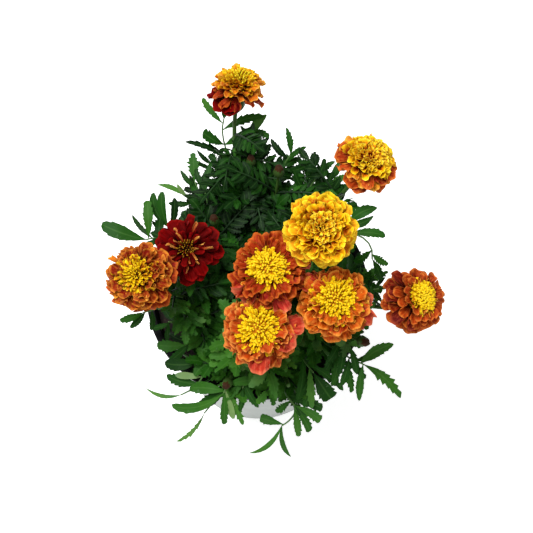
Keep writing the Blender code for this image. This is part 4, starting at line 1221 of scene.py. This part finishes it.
# %% How a petal is painted
def petal_paint(name, heart_shade, blade, rim_highlight, other, streaks=0.58, highlight_patches=0.30, rim_highlight_share=0.75, gloss=0.10,
                heart_shade_end=0.36):
    """Heart to blade along the petal; the heart colour is partly the petal's own and partly painted
    shade of the crevices between petals. Other is the tone that some petals lean to; highlight
    patches of the rim's colour mottle it and a thin line of it follows the edge, both painted
    highlight. Streaks that run along the petal darken it. The four colours are screen values."""
    heart_shade, blade, rim_highlight, other = (colour(*shade) for shade in (heart_shade, blade, rim_highlight, other))
    paint = Paint(name, 0.62, Specular_IOR_Level=gloss)
    across, along, seed = paint.marks()[:3]

    def fibres(wide, long, detail, roughness):
        """Noise with wide patches across and long ones along, other ones on each petal."""
        where = {0: paint.times(across, wide), 1: paint.times(along, long), 2: paint.times(seed, 60.0)}
        return paint.noise(paint.node("CombineXYZ", where).outputs[0], 1.0, detail, roughness)

    # Painted shade: the heart colour near the foot stands partly for shade between the petals.
    base = paint.ramp(along, (0.0, heart_shade), (heart_shade_end, heart_shade), (heart_shade_end + 0.34, blade), (1.0, blade))
    base = paint.mix(paint.times(paint.minus(seed, 0.5), 2.0, clamp=True), base, other)
    # Painted highlight: patches of the rim colour, more of them towards the rim.
    light = paint.times(paint.minus(fibres(8.0, 5.0, 4.0, 0.65), 0.46), 6.0, clamp=True)
    base = paint.tint(base, rim_highlight, paint.times(light, along), highlight_patches)
    # Painted highlight: a thin line of the rim colour along the edge and at the end.
    edge = paint.math("ABSOLUTE", paint.minus(across, 0.5))
    edge = paint.times(paint.minus(edge, 0.42), 12.0, clamp=True)
    end = paint.times(paint.minus(along, 0.88), 8.0, clamp=True)
    base = paint.tint(base, rim_highlight, paint.math("MAXIMUM", paint.times(edge, along), end), rim_highlight_share)
    streak = fibres(14.0, 1.8, 3.0, 0.6)
    dark = paint.ramp(streak, (0.30, (0.42, 0.34, 0.28, 1)), (0.60, (1.08, 1.08, 1.08, 1)))
    return paint.finish(paint.mix(streaks, base, dark, "MULTIPLY"), streak, 0.0006, 0.7)


# %% Petal colours
# Heart (partly painted shade), blade, rim (painted highlight), and the tone that some petals
# lean to.
ORANGE = petal_paint("orange_petal", (90, 12, 3), (180, 68, 15), (242, 158, 72),
                     (172, 48, 22), highlight_patches=0.36)
MARIGOLD = petal_paint("marigold_petal", (98, 18, 3), (190, 82, 14), (242, 162, 64),
                       (188, 58, 22), highlight_patches=0.40)
EMBER = petal_paint("ember_petal", (70, 8, 3), (150, 44, 12), (218, 116, 44), (140, 30, 24), highlight_patches=0.42)
CORAL = petal_paint("coral_petal", (104, 14, 10), (182, 56, 40), (226, 128, 88),
                    (178, 42, 44), highlight_patches=0.40)
RUST = petal_paint("rust_petal", (60, 9, 3), (172, 62, 18), (232, 134, 56), (128, 28, 14), highlight_patches=0.40)
MAROON = petal_paint("maroon_petal", (46, 5, 4), (108, 22, 11), (180, 78, 46), (84, 12, 8), highlight_patches=0.40)
FRILL = petal_paint("frilled_petal", (56, 4, 2), (126, 26, 8), (230, 146, 52),
                    (150, 50, 14), highlight_patches=0.50)
GOLD = petal_paint("golden_petal", (134, 26, 4), (222, 142, 8), (252, 222, 52),
                   (196, 80, 16), 0.5, heart_shade_end=0.46)
LEMON = petal_paint("lemon_petal", (172, 58, 6), (242, 186, 10), (253, 232, 56),
                    (214, 116, 16), 0.46, heart_shade_end=0.54)
BUTTER = petal_paint("butter_petal", (226, 118, 8), (254, 216, 20), (255, 242, 96),
                     (248, 184, 26), 0.22, heart_shade_end=0.48)
AMBER = petal_paint("amber_petal", (112, 22, 3), (206, 102, 18), (250, 196, 84), (230, 152, 34))
DARK = petal_paint("dark_red_petal", (20, 1, 2), (100, 5, 8), (144, 22, 20), (66, 2, 5), gloss=0.03)
STRIPE = petal_paint("striped_petal", (134, 36, 10), (192, 112, 44), (236, 188, 96),
                     (150, 44, 20), highlight_patches=0.6, rim_highlight_share=0.5)
QUILL = petal_paint("yellow_quill", (196, 126, 2), (244, 200, 6), (252, 230, 52), (238, 184, 12), 0.12)
YOUNG = petal_paint("young_quill", (150, 124, 6), (230, 204, 16), (250, 234, 70), (236, 204, 30), 0.12)
BRONZE = petal_paint("bronze_floret", (50, 14, 3), (120, 74, 10), (214, 170, 40), (96, 40, 8), 0.15)
print("petal paints:", len([m for m in bpy.data.materials if m.name.endswith(("petal", "quill", "floret"))]))


# %% [markdown]
# ## Nine blooms
#
# Every bloom is rings of petals below and a crest above, but no two are alike: some have a
# broad skirt and a dome of quills, one is all golden ruffles, one is dark red and open with
# pale rolled straps, one is small and spiky. Each kind is a short list of rings.


# %% Rings of petals
def ring(paint, turns, radius, draw, foot, height, reach, width, rise, bend, start=0.0, **shape):
    """One ring: turns is how many petals share the full turn, or the turn of each in degrees;
    every measure differs a little from petal to petal."""
    if np.ndim(turns) == 0:
        turns = np.degrees(start) + 360.0 * np.arange(turns) / turns
    count = len(turns)
    turn = np.radians(turns) + draw.uniform(-0.16, 0.16, count)
    length = (radius * reach - foot) * draw.uniform(0.88, 1.06, count)
    wide = radius * width * draw.uniform(0.80, 1.14, count)
    slope = rise + draw.uniform(-9, 9, count)
    level = height + draw.uniform(-0.6, 0.6, count)
    return petal_layer(paint, turn, foot, level, length, wide, slope, bend, draw, **shape)


def crown(paint, count, radius, low, high, length, width, draw, steep, flat, bend, first=0.0,
          columns=5, **shape):
    """Petals packed as the quills are, wider towards the outside. As there are many and small
    ones, each has few faces."""
    share, turn, foot, height, long, slope = packed(
        count, radius, low, high, length, draw, steep, flat, first)
    wide = width * (0.60 + 0.40 * share) * draw.uniform(0.8, 1.15, count)
    return petal_layer(paint, turn, foot, height, long, wide, slope - bend / 2, bend, draw, rows=6,
                       columns=columns, **shape)


def core_layer(paint, radius, height, rings=7, sides=24):
    """A low dome in the middle that the petals and quills grow from: its radius follows a
    cosine and its level a sine of the same quarter turn."""
    t = np.linspace(0, 1, rings)[:, None]
    wide = radius * np.cos(t * np.pi / 2 * 0.94)
    level = CORE_FOOT + (height - CORE_FOOT) * np.sin(t * np.pi / 2)
    # Along stays at 0.1 or less, so the dome takes its paint's heart colour, which is partly painted shade.
    marks = grid_marks(circle(sides) / 7, 0.1 * t, 0.3)
    return Layer(rings_of(wide, circle(sides), level), tube_faces(rings, sides), paint, marks)


def crested(radius, draw, petal, accent, accent_turns, petals, width, crest, tongues=120,
            cups=(0.1, 0.1, 0.25, 0.35), **skirt):
    """A skirt of ruffled petals in four rings, with a few of the accent colour where their
    turns say, round a crest: quills in its middle and narrow tongues with rounded tips."""
    tongue = {"roll": 45, "blunt": 0.6, "claw": 0.5}
    crest_radius = crest * radius
    return [
        core_layer(petal, 8.5, 3.0),
        ring(petal, petals, radius, draw, 5, -0.8, 1.02, width, -8, -28, cup=cups[0], **skirt),
        ring(accent, accent_turns, radius, draw, 5, 3.4, 1.10, width, 14, -34, cup=0.45, **skirt),
        ring(petal, petals, radius, draw, 5, 1.6, 0.98, width, 8, -28, start=0.35, cup=cups[1], **skirt),
        ring(petal, petals, radius, draw, 5, 3.8, 0.92, width - 0.08, 22, -26, start=0.1, cup=cups[2],
             **skirt),
        ring(petal, petals, radius, draw, 4, 5.6, 0.82, width - 0.16, 36, -24, start=0.5, cup=cups[3],
             **skirt),
        core_layer(QUILL, 0.74 * crest_radius, 11.2),
        quill_dome(QUILL, 130, 0.70 * crest_radius, 9.5, 13.8, 6.0, 0.90, draw),
        crown(QUILL, tongues, crest_radius, 7.0, 13.4, 7.6, 2.3, draw, 78, 12, -22, 0.16, cup=1.1,
              **tongue),
        crown(AMBER, 26, 1.14 * crest_radius, 6.0, 12.5, 8.0, 3.0, draw, 60, 12, -22, 0.62, cup=1.0,
              **tongue),
    ]


def begin(stem, seed):
    """The random draw of a bloom and its radius."""
    return np.random.default_rng(seed), HEADS[stem][5] / 2


def make_bloom(stem, layers):
    """Carries the layers to the head's place and makes them one piece."""
    for layer in layers:
        layer.points = carried(layer.points, stem)
    nodes = ["petals_" + stem]
    if "crest_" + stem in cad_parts:
        nodes.append("crest_" + stem)
    make_piece("bloom_" + stem, layers, nodes, sharp=75)


# %% The crested blooms
# Petal paint, the turns of the coral petals in degrees, how many petals a ring has, and their
# width and the crest's radius as shares of the bloom's radius.
CRESTED = {
    "f": (EMBER, (-152, -128, -72, 18, 46), 13, 0.47, 0.64),
    "g": (ORANGE, (-88, -36, 6), 12, 0.52, 0.72),
    "h": (MARIGOLD, (4, -24, 150), 12, 0.52, 0.72),
}
for stem, (petal, accent_turns, petals, width, crest) in CRESTED.items():
    draw, half = begin(stem, 300 + ord(stem))
    make_bloom(stem, crested(half, draw, petal, CORAL, accent_turns, petals, width, crest,
                             ruffle=0.48, waves=2.7, crumple=0.32))

# %% The rust bloom
draw, half = begin("i", 409)
dark_side = (140, 165, 190, 215, 240)
make_bloom("i", crested(
    half, draw, RUST, MAROON, dark_side, petals=15, width=0.42, crest=0.56, tongues=90,
    cups=(0.3, 0.4, 0.5, 0.5), ruffle=0.18, waves=1.6, crumple=0.14, notch=0.05, blunt=0.8))

# %% The frilly bloom
draw, half = begin("e", 405)
frilly = {"ruffle": 0.56, "waves": 2.5, "crumple": 0.30, "notch": 0.10, "lobes": 3.0}
make_bloom("e", [
    core_layer(EMBER, 8.5, 6.0),
    ring(EMBER, 10, half, draw, 5, -0.4, 1.02, 0.56, -6, -26, **frilly),
    ring(FRILL, 11, half, draw, 5, 1.8, 0.98, 0.50, 6, -24, start=0.35, **frilly),
    ring(FRILL, 11, half, draw, 5, 3.8, 0.91, 0.42, 20, -22, start=0.1, **frilly),
    crown(AMBER, 26, 0.90 * half, 3.8, 11.0, 10.0, 3.4, draw, 50, 6, -24, 0.50, cup=0.8, roll=60, sway=0.2,
          ruffle=0.5, columns=7),
    ring(FRILL, 10, half, draw, 5, 5.4, 0.80, 0.34, 36, -24, start=0.5, **frilly),
    crown(FRILL, 40, 0.72 * half, 6.5, 12.0, 9.5, 4.4, draw, 70, 22, -24, 0.25, cup=0.8, roll=50,
          ruffle=0.5, columns=7),
    crown(GOLD, 66, 0.68 * half, 7.0, 13.0, 8.5, 2.6, draw, 74, 22, -24, 0.15, cup=1.0, roll=55, sway=0.2),
    crown(QUILL, 60, 0.54 * half, 8.5, 13.8, 8.0, 2.1, draw, 80, 26, -24, cup=1.0, roll=55, sway=0.2),
    quill_dome(QUILL, 30, 0.26 * half, 11.0, 14.0, 6.0, 0.62, draw, flat=50),
])

# %% The ruffled golden bloom
draw, half = begin("c", 403)
make_bloom("c", [
    core_layer(GOLD, 10.0, 8.0),
    ring(GOLD, 13, half, draw, 5, 0.0, 1.01, 0.44, -8, -24, ruffle=0.36, cup=0.2),
    ring(LEMON, 13, half, draw, 5, 2.0, 0.99, 0.42, 6, -28, start=0.3, ruffle=0.40, cup=0.2),
    ring(GOLD, 13, half, draw, 5, 4.2, 0.96, 0.38, 20, -30, start=0.15, ruffle=0.40, cup=0.3),
    ring(LEMON, 11, half, draw, 5, 6.4, 0.86, 0.36, 34, -30, start=0.4, ruffle=0.40, cup=0.3),
    crown(LEMON, 72, 0.96 * half, 4.0, 16.0, 12.0, 10.0, draw, 86, 14, -44, ruffle=0.50, waves=2.2, cup=0.5,
          roll=22, crumple=0.24, columns=13),
    crown(BUTTER, 50, 0.46 * half, 13.0, 17.6, 6.5, 3.4, draw, 84, 34, -30, ruffle=0.5, cup=0.7, roll=50,
          columns=7),
])

# %% The cupped bloom
draw, half = begin("b", 402)
rust_side = (150, 178, 205, 232, 262, 290, 318, 346)
make_bloom("b", [
    core_layer(GOLD, 8.5, 8.0),
    ring(RUST, 11, half, draw, 5, -0.4, 1.02, 0.52, -8, -22, ruffle=0.40, waves=2.4),
    ring(RUST, rust_side, half, draw, 5, 3.4, 1.03, 0.46, 14, -26, ruffle=0.40, waves=2.4),
    ring(AMBER, 11, half, draw, 5, 1.8, 0.98, 0.48, 5, -22, start=0.35, ruffle=0.44, waves=2.4),
    crown(LEMON, 56, 0.84 * half, 4.0, 14.0, 9.0, 6.0, draw, 86, 12, -34, 0.42, ruffle=0.34, cup=0.9,
          roll=30, columns=7),
    crown(BUTTER, 64, 0.76 * half, 5.5, 14.6, 9.0, 4.8, draw, 86, 20, -34, 0.10, ruffle=0.34, cup=0.9,
          roll=34, columns=7),
    crown(BUTTER, 56, 0.58 * half, 11.0, 15.8, 6.5, 3.0, draw, 84, 36, -28, ruffle=0.4, cup=0.9, roll=50),
])

# %% The open dark red bloom
draw, half = begin("d", 404)
make_bloom("d", [
    core_layer(DARK, 6.0, 3.0),
    ring(DARK, 12, half, draw, 3, 0.0, 1.04, 0.44, 0, -18, ruffle=0.34, claw=0.22),
    ring(DARK, 11, half, draw, 3, 1.6, 0.90, 0.36, 10, -22, start=0.25, ruffle=0.40),
    ring(DARK, 11, half, draw, 2, 2.8, 0.58, 0.20, 30, -20, start=0.1, ruffle=0.30, cup=0.8, columns=9),
    crown(STRIPE, 16, 0.80 * half, 4.8, 8.4, 7.2, 2.3, draw, 46, 14, -26, 0.26, cup=0.9, roll=70, sway=0.25,
          claw=0.5),
    core_layer(DARK, 3.2, 4.6),
    quill_dome(DARK, 30, 0.32 * half, 4.0, 7.0, 3.4, 0.46, draw),
    quill_dome(BRONZE, 46, 0.30 * half, 5.0, 7.6, 3.0, 0.44, draw),
])

# %% The small spiky bloom
draw, half = begin("a", 401)
dark_side = (-108, 150, 178, 206, 232)
make_bloom("a", [
    core_layer(RUST, 7.5, 6.0),
    ring(DARK, dark_side, half, draw, 4, -0.4, 1.06, 0.50, -12, -34, ruffle=0.30, cup=0.3),
    ring(EMBER, 10, half, draw, 4, 1.2, 0.98, 0.42, 0, -26, start=0.3, ruffle=0.40),
    ring(AMBER, 11, half, draw, 4, 3.0, 0.93, 0.36, 16, -24, start=0.1, ruffle=0.46, cup=0.4),
    ring(AMBER, 10, half, draw, 4, 5.0, 0.86, 0.32, 32, -26, start=0.5, ruffle=0.46, cup=0.4),
    crown(GOLD, 70, 0.88 * half, 4.5, 13.0, 9.5, 4.2, draw, 82, 16, -28, cup=0.8, roll=38),
    crown(LEMON, 50, 0.74 * half, 7.5, 15.0, 10.0, 3.0, draw, 84, 30, -20, cup=0.9, roll=38),
    quill_dome(YOUNG, 40, 0.40 * half, 12.0, 15.5, 9.0, 0.66, draw, flat=55),
])


# %% [markdown]
# ## Buds
#
# A closed bud shows the tips of its petals, folded over one another, above its green cup. A
# dome with a twisted ripple does it: the ripple turns as it climbs.


# %% Bud tips
def bud_paint():
    """Greenish at the foot, dark brown at the tip, with a paler grain."""
    paint = Paint("bud_brown", 0.7, Specular_IOR_Level=0.1)
    grain = paint.noise(paint.place(), 500.0, 3.0)
    base = paint.ramp(paint.marks()[1], (0.0, colour(74, 66, 34)), (0.5, colour(60, 34, 24)),
                      (1.0, colour(34, 20, 15)))
    return paint.finish(paint.tint(base, colour(92, 66, 44), grain, 0.35), grain, 0.0003, 0.5)


def bud_layer(paint, radius, rings=12, sides=30):
    """A dome whose radius is a cosine to the power 0.7 and whose level is a sine, with five
    folds that turn as they climb."""
    t = np.linspace(0, 1, rings)[:, None]
    angle = circle(sides)
    fold = 1 + 0.10 * np.cos(5 * angle + 3.0 * t) * np.sin(np.pi * np.clip(t + 0.1, 0, 1))
    wide = 0.84 * BUD_SHARE * radius * np.cos(t * np.pi / 2 * 0.97) ** 0.7 * fold
    level = radius * (0.9 * np.sin(t * np.pi / 2) - 0.1)
    points = rings_of(wide, angle, level)
    return Layer(points, tube_faces(rings, sides), paint, grid_marks(angle / 7, t, 0.5))


BUD = bud_paint()
for stem, bud in BUDS.items():
    layer = bud_layer(BUD, bud[5])
    layer.points = carried(layer.points, stem)
    make_piece("bud_tip_" + stem, [layer], ["bud_" + stem])


# %% [markdown]
# ## Pots
#
# Both pots are turned shapes: a profile swept round the axis. The cover pot is a satin light
# grey with a softly rounded edge; the grow pot is thin black plastic with a turned-down lip
# that catches a line of light.


# %% Turned shapes
def lathe_layer(paint, profile, sides=160):
    """Each profile point (radius, height), from the axis outside and back to the axis inside,
    swept round the axis; the two ends on the axis are closed by their own points."""
    profile = np.array(profile, float)
    body = profile[1:-1]
    points = rings_of(body[:, :1], circle(sides), body[:, 1:]).reshape(-1, 3)
    poles = np.array([[0, 0, profile[0, 1]], [0, 0, profile[-1, 1]]])
    return Layer(np.concatenate([points, poles]), pole_faces(len(body), sides), paint)


def rounded(profile, steps=5):
    """Rounds marked corners of a profile: a point (radius, height, r) becomes a short curve
    whose ends lie r along each neighbouring side."""
    shaped = []
    for k, point in enumerate(profile):
        if len(point) == 2:
            shaped.append(point)
            continue
        here = np.array(point[:2], float)
        before = here + unit(np.array(profile[k - 1][:2], float) - here) * point[2]
        after = here + unit(np.array(profile[k + 1][:2], float) - here) * point[2]
        t = np.linspace(0, 1, steps)[:, None]
        shaped += [tuple(p) for p in before * (1 - t) ** 2 + here * 2 * t * (1 - t) + after * t * t]
    return shaped


print("points of a rounded corner:", len(rounded([(0, 0), (9, 0, 2), (9, 9)])) - 2)


# %% The two pots
def plastic_paint(name, base, speck, roughness, grain, gloss):
    """Moulded plastic: an even colour with faint mottling, fine scuffs and a slight texture."""
    paint = Paint(name, roughness, Specular_IOR_Level=gloss)
    where = paint.place()
    mottle = paint.noise(where, 18.0, 3.0)
    fine = paint.noise(where, 900.0, 2.0)
    scuffs = paint.times(paint.noise(where, 60.0, 4.0), 0.18)
    rough = paint.math("ADD", scuffs, roughness - 0.09)
    paint.tree.links.new(rough, paint.shader.inputs["Roughness"])
    return paint.finish(paint.tint(base, speck, mottle, 0.35), fine, 0.00015, grain)


COVER = plastic_paint("cover_pot_grey", colour(140, 147, 141), colour(128, 135, 129), 0.42, 0.25, 0.5)
GROW = plastic_paint("grow_pot_black", colour(5, 6, 6), colour(10, 11, 11), 0.58, 0.2, 0.10)
cover_profile = rounded([
    (0, 0.9), (46, 0.9), (50, 0.0, 0.8), (58, 0, 1.6), (73.2, 138.0, 0.75), (71.6, 138.0, 0.75),
    (56.4, 3.0, 2.0), (0, 3.0)])
make_piece("cover_pot_body", [lathe_layer(COVER, cover_profile)], ["cover_pot"], sharp=35)
grow_profile = rounded([
    (0, 3.3), (55.8, 3.3, 1.5), (71.0, 138.3, 0.3), (73.5, 138.3, 0.3), (73.5, 136.5, 0.3),
    (75.0, 136.5, 0.5), (75.0, 140.0, 1.2), (69.85, 140.0, 1.0), (54.7, 4.8, 1.5), (0, 4.8)])
make_piece("grow_pot_body", [lathe_layer(GROW, grow_profile)], ["grow_pot"], sharp=35)

# %% [markdown]
# ## Soil
#
# Potting soil is crumbs of dark peat with a few paler fibres and bits of bark. The body of it
# is a disc whose top is raised by sums of sines; several hundred crumbs lie half sunk in it.


# %% The soil and its crumbs
def soil_paint():
    """Near black, with paler fibres where the coarse noise is high."""
    paint = Paint("damp_soil", 0.92)
    where = paint.place()
    coarse = paint.noise(where, 180.0, 6.0, 0.7)
    fine = paint.noise(where, 900.0, 4.0, 0.6)
    base = paint.ramp(coarse, (0.30, colour(14, 11, 9)), (0.55, colour(40, 30, 23)),
                      (0.75, colour(74, 58, 44)))
    return paint.finish(paint.tint(base, colour(18, 14, 12), fine, 0.5), coarse, 0.0012, 0.9)


SOIL = soil_paint()
SOIL_RADIUS = 68.0
SOIL_FOOT = 5.2
SOIL_SIDES = 120
SOIL_RINGS = 39
CRUMBS = 520


def soil_height(x, y):
    """The level of the soil: a low crown and three crossing ripples."""
    swell = 2.0 * (1 - (np.hypot(x, y) / SOIL_RADIUS) ** 2)
    ripples = 0.7 * np.sin(x / 4.1 + 1.0) * np.cos(y / 3.3)
    ripples = ripples + 0.5 * np.sin(x / 1.9 - y / 2.3) + 0.4 * np.cos(y / 1.6)
    return 127.6 + swell + ripples


def soil_body():
    """Rings of the top from the middle out, then one ring at the foot, and a point in the
    middle of each end."""
    reach = np.linspace(0, SOIL_RADIUS, SOIL_RINGS + 1)[1:, None]
    x = reach * np.cos(circle(SOIL_SIDES))
    y = reach * np.sin(circle(SOIL_SIDES))
    top = np.stack([x, y, soil_height(x, y)], -1)
    wall = np.stack([x[-1] * 0.80, y[-1] * 0.80, np.full(SOIL_SIDES, SOIL_FOOT)], -1)[None]
    points = np.concatenate([top, wall]).reshape(-1, 3)
    poles = np.array([[0, 0, soil_height(0.0, 0.0)], [0, 0, SOIL_FOOT]])
    return Layer(np.concatenate([points, poles]), pole_faces(SOIL_RINGS + 1, SOIL_SIDES), SOIL)


def crumb_layer(count, draw, rings=5, sides=7):
    """Lumpy little balls, each half sunk at a random place: sine and cosine of the two
    angles of a sphere, times a size of its own and a little unevenness at every point."""
    spread = SOIL_RADIUS * 0.97 * np.sqrt(draw.random(count))
    turn = draw.uniform(0, 2 * np.pi, count)
    x = spread * np.cos(turn)
    y = spread * np.sin(turn)
    size = draw.uniform(0.7, 2.2, count)[:, None, None]
    lat = np.linspace(0.12, 0.88, rings)[:, None] * np.pi
    ball = rings_of(np.sin(lat), circle(sides), np.cos(lat))
    uneven = size * draw.uniform(0.75, 1.2, (count, rings * sides, 1))
    lumps = ball.reshape(1, -1, 3) * uneven * draw.uniform(0.6, 1.1, (count, 1, 3))
    centres = np.stack([x, y, soil_height(x, y) + 0.2], 1)
    return Layer(lumps + centres[:, None], tube_faces(rings, sides, count), SOIL)


make_piece("soil_bed", [soil_body(), crumb_layer(CRUMBS, np.random.default_rng(77))], ["soil"])

# %% [markdown]
# ## Floor, light and camera
#
# A plain pale floor, a wide soft light above and a weaker one in front, and a bright even
# world. The camera looks steeply down from the front, 71 degrees above the horizon, with a
# long lens, so the pot shows only a sliver of its wall below the leaves.


# %% The studio
FLOOR_REACH = 40.0
FLOOR_GLOW = 0.55
ROOM_LIGHT = 0.42
AIM = (0, 0, 0.2)
CAMERA_PLACE = (0.0061, -0.2608, 0.946)
CAMERA_ELEVATION = 71


def area_light(name, place, size, power):
    """A square light at a place in metres that faces the plant."""
    data = bpy.data.lights.new(name, "AREA")
    data.size = size
    data.energy = power
    light = new_object(name, data)
    light.location = place
    light.rotation_mode = "QUATERNION"
    light.rotation_quaternion = Vector(np.array(AIM) - np.array(place)).to_track_quat("-Z", "Y")


floor_paint = Paint("pale_floor", 0.8, Base_Color=colour(250, 250, 250), Emission_Color=WHITE,
                    Emission_Strength=FLOOR_GLOW)
floor_mesh = bpy.data.meshes.new("floor")
floor_corners = [(x * FLOOR_REACH, y * FLOOR_REACH, 0) for x, y in ((-1, -1), (1, -1), (1, 1), (-1, 1))]
floor_mesh.from_pydata(floor_corners, [], [(0, 1, 2, 3)])
floor_mesh.materials.append(floor_paint.material)
new_object("floor", floor_mesh)

world = bpy.data.worlds.new("studio")
world.use_nodes = True
background = world.node_tree.nodes["Background"].inputs
background["Color"].default_value = WHITE
background["Strength"].default_value = ROOM_LIGHT
bpy.context.scene.world = world
area_light("key", (-0.35, 0.15, 1.3), 0.5, 16.0)
area_light("front", (0.5, -0.9, 0.9), 0.8, 3.0)

lens = bpy.data.cameras.new("camera")
lens.lens = 85
lens.sensor_width = 36
camera = new_object("camera", lens)
camera.location = CAMERA_PLACE
camera.rotation_euler = (np.radians(90 - CAMERA_ELEVATION), 0, 0)
bpy.context.scene.camera = camera
bpy.context.scene.view_settings.view_transform = "Standard"
print("camera at:", CAMERA_PLACE, "looking down at", CAMERA_ELEVATION, "degrees")
